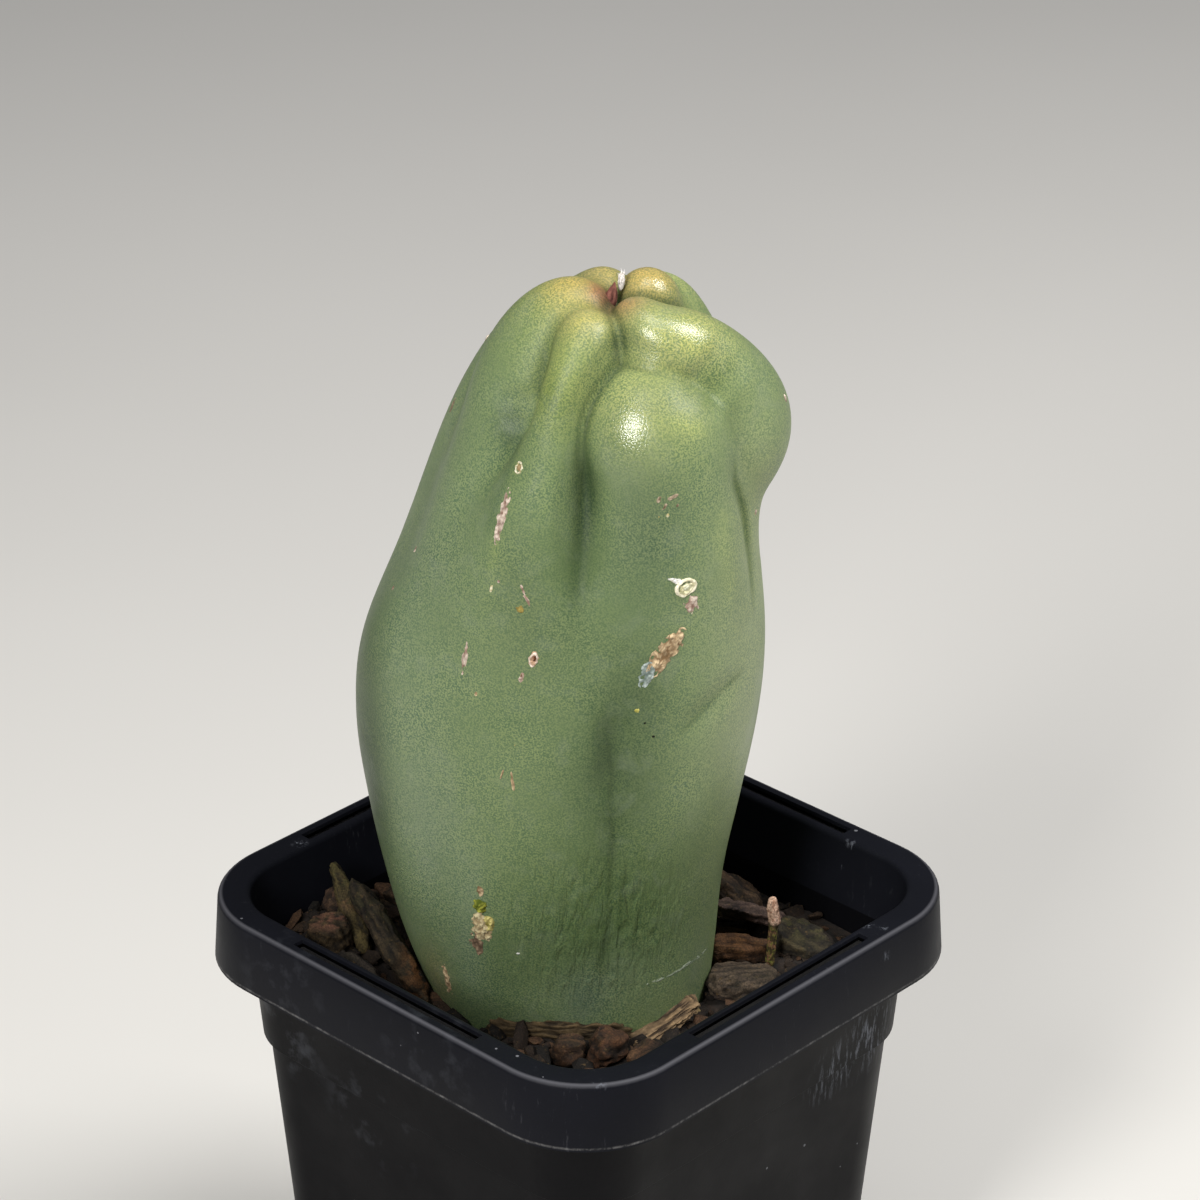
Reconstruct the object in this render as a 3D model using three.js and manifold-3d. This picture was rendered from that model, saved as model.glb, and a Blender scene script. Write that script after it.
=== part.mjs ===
// A monstrose senita cactus, smooth and without spines, in a square nursery pot.
// Lengths are in millimetres. Z points up, and the origin is the middle of the pot's base.
// The stem's own frame is turned about Z from the pot's: there X runs to the right of the
// stem's best side, and minus Y comes out of that side.

import * as THREE from 'three';
import { mergeVertices } from 'three/addons/utils/BufferGeometryUtils.js';
import Module from 'manifold-3d';

const wasm = await Module();
wasm.setup();

// Pot
const RIM_WIDTH = 90;
const RIM_CORNER = 16.7;
const POT_HEIGHT = 95;
const WALL = 1.05;
const WALL_CORNER = 12;
const WALL_TOP_HALF = 40.9;
const TAPER = 0.07;
const WALL_STEP_DEPTH = 25.5;
const WALL_STEP = 0.8;
const RIM_PLATE = 1.3;
const SKIRT_DEPTH = 11.1;
const SKIRT_WALL = 1.2;
const SKIRT_FLARE = 0.63;
const RIM_ROUNDING = 0.6;
const FOOT_INSET = 4.5;
const FOOT_HEIGHT = 1.6;
const FLOOR = 1.4;
const SLOT_LENGTH = 39;
const SLOT_WIDTH = 2;
const SLOT_OFFSET = RIM_WIDTH / 2 - 2.9;
const DRAIN_RADIUS = 3.5;
const DRAIN_OFFSET = 17;

// Stem
const STEM_TURN = THREE.MathUtils.degToRad(43.35);
const STEM_SEGMENTS = 80;
const AXIS_LOW = -2.4;
const AXIS_HIGH = 4.2;
const FAN_LOW = -37;
const FAN_HIGH = 68;

// Potting mix, bark and the gap that loose pieces keep from each other
const SOIL_DEPTH = 16.5;
const SEAT_GAP = 0.3;
const SOCKET_GAP = 0.55;
const CORNER_STEPS = 6;

// Colours
const MATERIALS = {
  pot: new THREE.MeshStandardMaterial({ color: 0x1b1c22, roughness: 0.5, metalness: 0 }),
  mix: new THREE.MeshStandardMaterial({ color: 0x2a1d13, roughness: 1, metalness: 0 }),
  skin: new THREE.MeshStandardMaterial({ color: 0x6c8559, roughness: 0.48, metalness: 0 }),
  bark: new THREE.MeshStandardMaterial({ color: 0x4a3526, roughness: 0.95, metalness: 0 }),
  twig: new THREE.MeshStandardMaterial({ color: 0x8a6550, roughness: 0.9, metalness: 0 }),
  wool: new THREE.MeshStandardMaterial({ color: 0xe9dfdc, roughness: 1, metalness: 0 }),
};

// Ribs and bulges of the stem: x, y, height above the pot's rim and radius along each middle
const LIMBS = {
  left: [
    [-7, -1, -40, 9.5], [-9.8, -1, -15, 13.4], [-13.2, -2, 3, 15.8], [-16, -2, 20, 16.5],
    [-17.5, -2, 33, 16.6], [-17.5, -2, 42, 15.8], [-14.8, -2, 49, 13.7], [-12.2, -2, 57, 12.6],
    [-10, -1.6, 66, 11.9], [-8, -1, 74, 11], [-6.4, -0.4, 82, 10.3], [-5, 0, 89.4, 9.1],
    [-2.6, -0.4, 95.5, 6.8], [0.1, -1.2, 98.1, 4.8],
  ],
  right: [
    [4.6, 1, -40, 8.6], [7, -0.4, -15, 12.2], [7.3, -0.2, 3, 12.9], [10.3, 0, 20, 13.8],
    [12.1, 0, 33, 13.9], [14.2, 0, 44, 13.5], [14.1, 0, 52, 13.1], [13.6, 0, 60, 12.5],
    [12.8, 0, 68, 12], [12, 0, 80, 10.5],
  ],
  core: [
    [-4, -5, 50, 12], [-2.5, -5.5, 62, 11.5], [-1, -5.5, 72, 10.5], [0, -5, 80, 9.5],
    [1.5, -4, 87, 8.5], [3, -3, 93, 6.5],
  ],
  ear: [
    [11, -1, 60, 11], [14.9, -1, 67, 9.9], [18.4, -1.2, 73.4, 9.3], [21.5, -1.9, 80.5, 9.8],
    [19.8, -3.2, 86.2, 8.8], [17, -5, 91.4, 7.1], [14, -6.8, 95.3, 5.4], [11.4, -7.7, 96.4, 4.4],
    [9.4, -6.6, 97.8, 3.6], [7.8, -4.8, 98.9, 2.9],
  ],
  rearRight: [
    [5, 6, -40, 8.6], [6.6, 8, -15, 12], [10, 11, 10, 14.3], [13, 12, 35, 15.6],
    [12, 12, 60, 13.8], [12, 11, 78, 11.6], [11.6, 9.5, 88, 9], [10.8, 8.4, 93.8, 6.7],
  ],
  rear: [
    [-3, 8, -40, 8.6], [-3, 9, -15, 12.6], [-3, 13, 10, 15], [-3, 14, 35, 16], [-2, 14, 60, 14],
    [-0.4, 13, 78, 12], [1.6, 9, 90, 8], [3.7, 5.2, 98.5, 3.4],
  ],
  rearLeft: [
    [-8, 5, -40, 8.6], [-12, 7, -15, 11.4], [-16, 9, 10, 13.6], [-18, 10, 35, 14.6],
    [-12.6, 10, 60, 12.6], [-8, 9, 78, 10.5], [-4.2, 7, 89, 7.8], [-0.8, 4.4, 94.5, 4.8],
  ],
  knob: [[10.4, 4.5, 94, 5], [9.9, 2.4, 99.4, 4.4]],
  second: [
    [-4, -3, -40, 8.6], [-6, -5, -15, 11.6], [-6, -8, 10, 13.3], [-6, -10, 40, 13.8],
    [-6.2, -11.2, 56, 11.8], [-6.2, -12.2, 66, 9.4], [-5.6, -13.6, 73, 6.6],
    [-4.4, -14.4, 79, 4.5], [-3.9, -14.5, 84, 3.2], [-3.1, -14, 88, 2.6], [-1.9, -12.8, 91.6, 2.5],
    [-0.2, -10.7, 94.6, 3], [1.4, -7.6, 97.1, 4.2],
  ],
  centre: [
    [2, -2, -40, 8.6], [3.4, -4.4, -15, 13.9], [4, -6, 10, 15.5], [7, -8, 30, 16],
    [8.4, -8.5, 45, 16], [10, -9, 60, 14.8], [11, -9, 70, 13.6], [11, -9.2, 77, 12.8],
    [11.6, -9.4, 82.4, 11.6], [9.9, -10, 83.3, 11.4],
  ],
};

// Hollows pressed into the skin: points along each, its half width and its depth
const DENTS = [
  {
    path: [
      [5.4, -24.6, 50], [5.2, -24.4, 44], [4.8, -23.9, 34],
      [4.4, -23.6, 24], [4, -22.6, 8], [3.2, -21, -6],
    ],
    width: 3.6,
    depth: 0.7,
  },
  {
    path: [
      [5.6, -24.6, 45], [5.1, -24.2, 40],
      [4.7, -23.8, 33], [4.5, -23.7, 27],
    ],
    width: 2.2,
    depth: 1,
  },
  {
    path: [
      [25, -12.9, 46], [21.3, -18, 44.2],
      [18, -20.9, 42], [13, -23.2, 39],
    ],
    width: 2.4,
    depth: 0.5,
  },
  {
    path: [
      [0.2, -17.4, 84], [1, -18.6, 78], [0.8, -19.6, 72],
      [0, -20.8, 65], [-0.6, -22.2, 56],
    ],
    width: 2.8,
    depth: 1.4,
  },
  { path: [[-9, -10.4, 91], [-9.9, -11.8, 87.4], [-10.6, -13.2, 83.5]], width: 3, depth: 1.3 },
  {
    path: [
      [21, -14.6, 84], [22.3, -14.6, 77.4], [23.9, -12.6, 71.5],
      [25.2, -11.6, 64], [25.8, -10.6, 54],
    ],
    width: 1.3,
    depth: 0.6,
  },
  { path: [[17.2, -13.4, 96.4], [19.8, -12.6, 93], [22.8, -11.4, 89]], width: 4.2, depth: 1 },
];

// Bark pieces in the stem's frame: place, height under the rim, sizes and turns in degrees
const BARK_BY_STEM = [
  { at: [-29.8, -2, -9.5], size: [25, 10.5, 3.6], turn: [-62, 30, -54] },
  { at: [-36.5, 5.5, -8.5], size: [19, 3.6, 3], turn: [0, 34, -66] },
  { at: [-39.5, 0.5, -11], size: [7.5, 7, 8.5], turn: [4, -6, 18] },
  { at: [-35.2, -6.5, -13.5], size: [12, 6.5, 5], turn: [12, 8, -50] },
  { at: [-37, 12, -11.5], size: [10, 8, 6], turn: [-14, 16, 30] },
  { at: [27.5, 11.5, -12], size: [15, 9, 2.6], turn: [-20, 26, 28] },
  { at: [24.5, 2.5, -13.4], size: [13, 5, 4], turn: [8, 6, 4] },
  { at: [25.8, -5.5, -14.2], size: [13, 11, 4], turn: [-16, 8, 20] },
  { at: [35.5, 6.5, -14.5], size: [11, 8, 4.4], turn: [10, 14, -34] },
  { at: [4.5, -24.2, -14.6], size: [7.5, 6, 6], turn: [10, 18, 60] },
  { at: [-1.2, -24.6, -15.4], size: [6, 5.4, 5], turn: [-12, 6, 15] },
  { at: [10.5, -25.2, -16], size: [7, 5, 4.4], turn: [0, -12, 40] },
];
const BARK_BEHIND = 10;
const BARK_SEED = 43;
const STEM_REACH = 26;

// Small helpers

function seededRandom(seed) {
  let state = seed;
  return () => {
    state = (state * 1664525 + 1013904223) % 4294967296;
    return state / 4294967296;
  };
}

function smoothStep(low, high, value) {
  return THREE.MathUtils.smoothstep(value, low, high);
}

function roundedSquare(half, corner, z) {
  const ring = [];
  for (let quarter = 0; quarter < 4; quarter += 1) {
    const middle = (quarter + 0.5) * Math.PI / 2;
    const cx = Math.sign(Math.cos(middle)) * (half - corner);
    const cy = Math.sign(Math.sin(middle)) * (half - corner);
    for (let step = 0; step <= CORNER_STEPS; step += 1) {
      const angle = (quarter + step / CORNER_STEPS) * Math.PI / 2;
      const x = cx + corner * Math.cos(angle);
      const y = cy + corner * Math.sin(angle);
      ring.push(new THREE.Vector3(x, y, z));
    }
  }
  return ring;
}

// A closed skin through rings of equal count, from a pole point to a pole point.
// The rings run anticlockwise seen from above, and the first pole lies below the first ring.
function loft(firstPole, rings, lastPole) {
  const count = rings[0].length;
  const points = [firstPole, ...rings.flat(), lastPole];
  const index = [];
  const last = points.length - 1;
  for (let i = 0; i < count; i += 1) {
    const next = (i + 1) % count;
    index.push(0, 1 + next, 1 + i);
    for (let ring = 0; ring + 1 < rings.length; ring += 1) {
      const low = 1 + ring * count;
      const high = low + count;
      index.push(low + i, low + next, high + next);
      index.push(low + i, high + next, high + i);
    }
    const top = 1 + (rings.length - 1) * count;
    index.push(top + i, top + next, last);
  }
  const geometry = new THREE.BufferGeometry().setFromPoints(points);
  geometry.setIndex(index);
  return geometry;
}

function solidFrom(geometry) {
  const bare = geometry.clone();
  bare.deleteAttribute('normal');
  bare.deleteAttribute('uv');
  const merged = mergeVertices(bare, 1e-5);
  return new wasm.Manifold(new wasm.Mesh({
    numProp: 3,
    vertProperties: new Float32Array(merged.attributes.position.array),
    triVerts: new Uint32Array(merged.index.array),
  }));
}

function geometryFrom(solid) {
  const mesh = solid.getMesh();
  const geometry = new THREE.BufferGeometry();
  geometry.setAttribute('position', new THREE.BufferAttribute(mesh.vertProperties, 3));
  geometry.setIndex(new THREE.BufferAttribute(mesh.triVerts, 1));
  return geometry;
}

function largestPiece(solid) {
  const pieces = solid.decompose();
  return pieces.reduce((best, piece) => (piece.volume() > best.volume() ? piece : best));
}

// Pot

function wallHalf(depth) {
  const step = depth > WALL_STEP_DEPTH ? WALL_STEP : 0;
  return WALL_TOP_HALF - TAPER * depth - step;
}

function wallRing(depth, inset) {
  return roundedSquare(wallHalf(depth) - inset, WALL_CORNER - inset, POT_HEIGHT - depth);
}

function rimRing(halfChange, z) {
  return roundedSquare(RIM_WIDTH / 2 + halfChange, RIM_CORNER + halfChange, POT_HEIGHT + z);
}

function footRings() {
  const foot = wallHalf(POT_HEIGHT);
  return [
    roundedSquare(foot - FOOT_INSET - 1, WALL_CORNER - FOOT_INSET - 1, FOOT_HEIGHT),
    roundedSquare(foot - FOOT_INSET, WALL_CORNER - FOOT_INSET, 0),
    roundedSquare(foot - 0.9, WALL_CORNER - 0.9, 0),
    roundedSquare(foot, WALL_CORNER, 1),
  ];
}

function outerWallRings() {
  return [
    wallRing(60, 0),
    wallRing(WALL_STEP_DEPTH + 0.7, 0),
    wallRing(WALL_STEP_DEPTH - 0.1, 0),
    wallRing(RIM_PLATE, 0),
  ];
}

function skirtRings() {
  return [
    rimRing(-SKIRT_WALL, -RIM_PLATE),
    rimRing(SKIRT_FLARE - SKIRT_WALL, -SKIRT_DEPTH),
    rimRing(SKIRT_FLARE, -SKIRT_DEPTH),
    rimRing(SKIRT_FLARE * 0.2, -SKIRT_DEPTH + 2.4),
    rimRing(0, -RIM_ROUNDING),
    rimRing(-RIM_ROUNDING, 0),
  ];
}

function innerWallRings() {
  return [
    wallRing(0, WALL),
    wallRing(WALL_STEP_DEPTH - 1, WALL),
    wallRing(WALL_STEP_DEPTH + 0.6, WALL),
    wallRing(POT_HEIGHT - FLOOR, WALL),
  ];
}

function potBody() {
  const floorTop = FOOT_HEIGHT + FLOOR;
  const foot = wallHalf(POT_HEIGHT) - FOOT_INSET;
  const rings = [
    ...footRings(),
    ...outerWallRings(),
    ...skirtRings(),
    ...innerWallRings(),
    roundedSquare(foot, WALL_CORNER - FOOT_INSET, FLOOR),
    roundedSquare(foot - 1, WALL_CORNER - FOOT_INSET - 1, floorTop),
  ];
  return loft(new THREE.Vector3(0, 0, FOOT_HEIGHT), rings, new THREE.Vector3(0, 0, floorTop));
}

// The long slots between the wall's top and the rim, one on each side
function rimSlot(side) {
  const slot = new THREE.BoxGeometry(SLOT_LENGTH, SLOT_WIDTH, RIM_PLATE * 4);
  slot.translate(0, -SLOT_OFFSET, POT_HEIGHT);
  slot.rotateZ(side * Math.PI / 2);
  return solidFrom(slot);
}

function drainHole(x, y) {
  const hole = new THREE.CylinderGeometry(DRAIN_RADIUS, DRAIN_RADIUS, 12, 16);
  hole.rotateX(Math.PI / 2);
  hole.translate(x, y, FOOT_HEIGHT);
  return solidFrom(hole);
}

function potShape() {
  let pot = solidFrom(potBody());
  for (let side = 0; side < 4; side += 1) {
    pot = pot.subtract(rimSlot(side));
  }
  for (const x of [-1, 0, 1]) {
    for (const y of [-1, 0, 1]) {
      pot = pot.subtract(drainHole(x * DRAIN_OFFSET, y * DRAIN_OFFSET));
    }
  }
  return pot;
}

// The room inside the pot, less a gap, up to a little above the rim
function potRoom() {
  const inset = WALL + SEAT_GAP;
  const foot = wallHalf(POT_HEIGHT) - FOOT_INSET;
  const floorTop = FOOT_HEIGHT + FLOOR + SEAT_GAP;
  const low = FLOOR + SEAT_GAP;
  const rings = [
    roundedSquare(foot - 1, WALL_CORNER - FOOT_INSET - 1, floorTop),
    roundedSquare(foot + 0.3, WALL_CORNER - FOOT_INSET, low),
    wallRing(POT_HEIGHT - low, inset),
    wallRing(WALL_STEP_DEPTH + 0.9, inset),
    wallRing(WALL_STEP_DEPTH - 1.3, inset),
    wallRing(-3, inset),
  ];
  return solidFrom(loft(new THREE.Vector3(0, 0, floorTop), rings, new THREE.Vector3(0, 0, POT_HEIGHT + 3)));
}

// Stem: balls along each limb are melted together, and the limbs are then blended

function limbBalls(rows) {
  const balls = [];
  for (let i = 0; i + 1 < rows.length; i += 1) {
    const before = rows[Math.max(i - 1, 0)];
    const from = rows[i];
    const to = rows[i + 1];
    const after = rows[Math.min(i + 2, rows.length - 1)];
    const length = Math.hypot(to[0] - from[0], to[1] - from[1], to[2] - from[2]);
    const steps = Math.max(1, Math.ceil(length / (0.34 * Math.min(from[3], to[3]))));
    for (let step = 0; step < steps; step += 1) {
      const t = step / steps;
      balls.push(from.map((value, k) => 0.5 * (
        2 * value
        + (to[k] - before[k]) * t
        + (2 * before[k] - 5 * value + 4 * to[k] - after[k]) * t * t
        + (3 * value - before[k] - 3 * to[k] + after[k]) * t * t * t
      )));
    }
  }
  balls.push(rows[rows.length - 1]);
  return balls;
}

const BALLS = Object.fromEntries(Object.entries(LIMBS).map(([name, rows]) => [name, limbBalls(rows)]));
const MELT = 0.8;
const MELT_SWELL = 0.45;

function limbDistance(point, name) {
  const distances = BALLS[name].map((ball) => (
    Math.hypot(point.x - ball[0], point.y - ball[1], point.z - ball[2]) - ball[3]
  ));
  const nearest = Math.min(...distances);
  let sum = 0;
  for (const distance of distances) {
    sum += Math.exp((nearest - distance) / MELT);
  }
  return nearest - MELT * Math.log(sum) + MELT_SWELL;
}

function blend(a, b, reach) {
  const overlap = Math.max(reach - Math.abs(a - b), 0) / reach;
  return Math.min(a, b) - overlap * overlap * reach / 4;
}

// A hollow is deepest along the middle of its path and runs out towards both ends
function dentDepth(point, dent) {
  const pieces = dent.path.length - 1;
  let nearest = Infinity;
  let along = 0;
  for (let i = 0; i < pieces; i += 1) {
    const line = new THREE.Line3(new THREE.Vector3(...dent.path[i]), new THREE.Vector3(...dent.path[i + 1]));
    const t = line.closestPointToPointParameter(point, true);
    const distance = line.at(t, new THREE.Vector3()).distanceTo(point);
    if (distance < nearest) {
      nearest = distance;
      along = (i + t) / pieces;
    }
  }
  const fade = smoothStep(0, 0.35, along) * smoothStep(0, 0.35, 1 - along);
  return dent.depth * fade * Math.exp(-((nearest / dent.width) ** 2));
}

// Distance from a point to the stem's skin, below zero inside; z is counted from the rim
function stemDistance(point) {
  const z = point.z;
  const wide = 6.5 - 4.7 * smoothStep(45, 90, z);
  let d = limbDistance(point, 'left');
  for (const name of ['right', 'rearRight', 'rear', 'rearLeft', 'core']) {
    d = blend(d, limbDistance(point, name), wide);
  }
  d = blend(d, limbDistance(point, 'knob'), 1);
  d = blend(d, limbDistance(point, 'ear'), 3.2 - 1.8 * smoothStep(85, 98, z));
  d = blend(d, limbDistance(point, 'second'), 8 - 6.6 * smoothStep(54, 82, z));
  d = blend(d, limbDistance(point, 'centre'), 8 - 7 * smoothStep(56, 85, z));
  return d + DENTS.reduce((total, dent) => total + dentDepth(point, dent), 0);
}

// Rays go out from the stem's middle: fanned at the foot, level up the side, fanned over the top
function stemRows(footRows, sideStep, crownRows) {
  const rows = [];
  for (let i = 1; i <= footRows; i += 1) {
    rows.push({ z: FAN_LOW, tilt: (i / (footRows + 1) - 1) * Math.PI / 2 });
  }
  const sideRows = Math.round((FAN_HIGH - FAN_LOW) / sideStep);
  for (let i = 0; i <= sideRows; i += 1) {
    rows.push({ z: FAN_LOW + (FAN_HIGH - FAN_LOW) * i / sideRows, tilt: 0 });
  }
  for (let i = 1; i <= crownRows; i += 1) {
    rows.push({ z: FAN_HIGH, tilt: i / (crownRows + 1) * Math.PI / 2 });
  }
  return rows;
}

function skinPoint(z, tilt, around, gap) {
  const middleX = AXIS_LOW + (AXIS_HIGH - AXIS_LOW) * smoothStep(20, FAN_HIGH, z);
  const from = new THREE.Vector3(middleX, 0, z);
  const way = new THREE.Vector3(
    Math.cos(around) * Math.cos(tilt),
    Math.sin(around) * Math.cos(tilt),
    Math.sin(tilt),
  );
  const at = (reach) => from.clone().addScaledVector(way, reach);
  let outside = 62;
  let inside = outside;
  while (inside > 0.5 && stemDistance(at(inside)) > gap) {
    outside = inside;
    inside -= Math.max(0.3, 0.85 * (stemDistance(at(inside)) - gap));
  }
  for (let i = 0; i < 14; i += 1) {
    const half = (inside + outside) / 2;
    if (stemDistance(at(half)) > gap) {
      outside = half;
    } else {
      inside = half;
    }
  }
  return at(inside);
}

function stemSurface(gap, segments, rows) {
  const place = (point) => {
    point.applyAxisAngle(new THREE.Vector3(0, 0, 1), STEM_TURN);
    point.z += POT_HEIGHT;
    return point;
  };
  const rings = rows.map(({ z, tilt }) => {
    const ring = [];
    for (let i = 0; i < segments; i += 1) {
      ring.push(place(skinPoint(z, tilt, i / segments * 2 * Math.PI, gap)));
    }
    return ring;
  });
  const foot = place(skinPoint(rows[0].z, -Math.PI / 2, 0, gap));
  const top = place(skinPoint(rows[rows.length - 1].z, Math.PI / 2, 0, gap));
  return loft(foot, rings, top);
}

// Potting mix: its top rolls gently and is heaped into the corner beside the left rib

function soilHeight(x, y) {
  const heap = 5.5 * Math.exp(-((x + 36) ** 2 + (y + 24) ** 2) / 260);
  const slope = 1.2 * Math.exp(-((x - 26) ** 2 + (y - 30) ** 2) / 500);
  const rolls = 0.7 * Math.sin(x * 0.41 + 1.3) * Math.sin(y * 0.37 + 0.4);
  return POT_HEIGHT - SOIL_DEPTH + heap + slope + rolls;
}

// Everything under the mix's top, raised by a gap
function groundBlock(raise) {
  const size = RIM_WIDTH;
  const block = new THREE.BoxGeometry(size, size, size, 18, 18, 1);
  const position = block.attributes.position;
  for (let i = 0; i < position.count; i += 1) {
    const isTop = position.getZ(i) > 0;
    const z = isTop ? soilHeight(position.getX(i), position.getY(i)) + raise : -size / 2;
    position.setZ(i, z);
  }
  return solidFrom(block);
}

function mixShape(room) {
  const socket = solidFrom(stemSurface(SOCKET_GAP, 48, stemRows(4, 5, 8)));
  const mix = room.intersect(groundBlock(0)).subtract(socket);
  return largestPiece(mix);
}

// Bark: uneven slabs, with the same draw for a piece and for the clearance cut round it
function barkSlab(piece, seed, gap) {
  const random = seededRandom(seed);
  const sides = 8;
  const uneven = Array.from({ length: sides * 3 }, () => 0.86 + 0.2 * random());
  const [length, width, thickness] = piece.size.map((side) => side / 2 + gap);
  const ring = (layer, height, spread) => {
    const points = [];
    for (let i = 0; i < sides; i += 1) {
      const angle = (i + 0.5) / sides * 2 * Math.PI;
      const square = Math.max(Math.abs(Math.cos(angle)), Math.abs(Math.sin(angle))) ** -0.6;
      const reach = square * spread * uneven[layer * sides + i];
      const x = length * Math.cos(angle) * reach;
      const y = width * Math.sin(angle) * reach;
      points.push(new THREE.Vector3(x, y, thickness * height * uneven[(layer * 5 + i) % uneven.length]));
    }
    return points;
  };
  const rings = [ring(0, -1, 0.86), ring(1, 0.05, 1.04), ring(2, 1, 0.84)];
  const slab = loft(new THREE.Vector3(0, 0, -thickness), rings, new THREE.Vector3(0, 0, thickness));
  const turn = piece.turn.map(THREE.MathUtils.degToRad);
  slab.applyMatrix4(new THREE.Matrix4().makeRotationFromEuler(new THREE.Euler(...turn, 'ZYX')));
  slab.translate(...piece.at);
  slab.rotateZ(STEM_TURN);
  slab.translate(0, 0, POT_HEIGHT);
  return solidFrom(slab);
}

// The sides that lie behind the stem get bark by a seeded draw, midway between skin and wall
function barkBehind() {
  const random = seededRandom(BARK_SEED);
  const pieces = [];
  for (let i = 0; i < BARK_BEHIND; i += 1) {
    const angle = THREE.MathUtils.degToRad(34 + 128 * (i + 0.5) / BARK_BEHIND);
    const inPot = angle + STEM_TURN;
    const wall = wallHalf(SOIL_DEPTH) / Math.max(Math.abs(Math.cos(inPot)), Math.abs(Math.sin(inPot)));
    const reach = (STEM_REACH + Math.min(wall, WALL_TOP_HALF * 1.15)) / 2;
    pieces.push({
      at: [reach * Math.cos(angle), reach * Math.sin(angle), -SOIL_DEPTH + 1.6 + 1.2 * random()],
      size: [10 + 5 * random(), 7 + 3 * random(), 4 + 2 * random()],
      turn: [50 * (random() - 0.5), 40 * (random() - 0.5), 360 * random()],
    });
  }
  return pieces;
}

// Twig: a thin dead shoot with a paler swollen tip, standing in the mix
function twigBody(gap) {
  const path = [
    { at: [30.4, 1.2, -18.5], radius: 0.75 },
    { at: [30.5, 1.2, -12], radius: 0.8 },
    { at: [30.7, 1.4, -8.4], radius: 0.7 },
    { at: [30.9, 1.5, -7.6], radius: 1.0 },
    { at: [30.6, 1.6, -5], radius: 1.05 },
    { at: [30.5, 1.7, -3.4], radius: 0.7 },
  ];
  const rings = path.map(({ at, radius }) => {
    const ring = [];
    for (let i = 0; i < 8; i += 1) {
      const angle = i / 4 * Math.PI;
      const x = at[0] + (radius + gap) * Math.cos(angle);
      const y = at[1] + (radius + gap) * Math.sin(angle);
      ring.push(new THREE.Vector3(x, y, at[2]));
    }
    return ring;
  });
  const foot = new THREE.Vector3(...path[0].at);
  const tip = new THREE.Vector3(30.5, 1.7, -2.9);
  const twig = loft(foot, rings, tip);
  twig.rotateZ(STEM_TURN);
  twig.translate(0, 0, POT_HEIGHT);
  return solidFrom(twig);
}

// Tuft of wool at the growing point
function woolShape(stemCut) {
  const wool = new THREE.IcosahedronGeometry(1, 1);
  wool.scale(0.95, 0.95, 2.1);
  wool.rotateY(THREE.MathUtils.degToRad(12));
  wool.translate(6, 0.2, 101.7);
  wool.rotateZ(STEM_TURN);
  wool.translate(0, 0, POT_HEIGHT);
  return largestPiece(solidFrom(wool).subtract(stemCut));
}

function named(name, geometry, material) {
  const mesh = new THREE.Mesh(geometry, material);
  mesh.name = name;
  return mesh;
}

const group = new THREE.Group();
const room = potRoom();
const ground = groundBlock(SEAT_GAP);
const stemCut = solidFrom(stemSurface(SEAT_GAP, STEM_SEGMENTS, stemRows(4, 4.2, 22)));

group.add(named('pot', geometryFrom(potShape()), MATERIALS.pot));
group.add(named('potting_mix', geometryFrom(mixShape(room)), MATERIALS.mix));
group.add(named('cactus_stem', stemSurface(0, STEM_SEGMENTS, stemRows(4, 4.2, 22)), MATERIALS.skin));

let taken = twigBody(SEAT_GAP);
[...BARK_BY_STEM, ...barkBehind()].forEach((piece, i) => {
  const seed = BARK_SEED + 7 * (i + 1);
  const slab = barkSlab(piece, seed, 0).intersect(room).subtract(ground).subtract(stemCut).subtract(taken);
  const name = `bark_chip_${String(i + 1).padStart(2, '0')}`;
  group.add(named(name, geometryFrom(largestPiece(slab)), MATERIALS.bark));
  taken = taken.add(barkSlab(piece, seed, SEAT_GAP));
});
group.add(named('twig', geometryFrom(twigBody(0).subtract(ground)), MATERIALS.twig));
group.add(named('tip_wool', geometryFrom(woolShape(stemCut)), MATERIALS.wool));

export default group;
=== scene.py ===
"""A potted senita cactus: a lumpy grey-green stem in bark mix, in a square black nursery pot."""
import math
import random
from functools import partial

import bmesh
import bpy
import numpy as np
from mathutils import Matrix, Vector, noise


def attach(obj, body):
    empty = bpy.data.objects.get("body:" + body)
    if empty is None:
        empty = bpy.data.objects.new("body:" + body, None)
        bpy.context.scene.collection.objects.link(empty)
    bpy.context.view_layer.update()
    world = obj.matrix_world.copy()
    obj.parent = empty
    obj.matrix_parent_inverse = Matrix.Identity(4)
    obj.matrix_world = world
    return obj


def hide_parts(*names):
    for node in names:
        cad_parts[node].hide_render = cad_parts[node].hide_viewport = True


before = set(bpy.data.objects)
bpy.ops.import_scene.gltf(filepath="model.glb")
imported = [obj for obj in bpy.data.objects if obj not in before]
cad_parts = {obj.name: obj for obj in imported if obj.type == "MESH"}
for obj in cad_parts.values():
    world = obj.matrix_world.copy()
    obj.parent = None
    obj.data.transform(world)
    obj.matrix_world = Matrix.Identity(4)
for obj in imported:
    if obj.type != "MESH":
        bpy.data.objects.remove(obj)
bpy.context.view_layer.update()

MM = 0.001

# Camera and lights
PHOTO_LENS = 126.72
PHOTO_SENSOR = 36
CAMERA_PLACE = (0.39432, -0.41316, 0.43726)
CAMERA_AZIMUTH = math.radians(43.35)
CAMERA_ELEVATION = math.radians(27.07)
CAMERA_ROLL = math.radians(0.22)
# Softboxes: name, azimuth and elevation from the stem's best side, size, power, colour
LIGHTS = [
    ("key_softbox", -27, 32, (0.2, 0.42), 6.9, (1.0, 0.985, 0.95)),
    ("right_softbox", 84, 52, (0.34, 0.34), 7, (1.0, 0.99, 0.97)),
    ("top_softbox", -10, 80, (0.5, 0.5), 3, (1.0, 0.99, 0.97)),
]
LIGHTS_AIM = (0, 0, 0.15)
LIGHTS_AWAY = 0.9
BACKDROP_COLOUR = (0.9, 0.93, 1.0, 1)
BACKDROP_STRENGTH = 0.13

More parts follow.
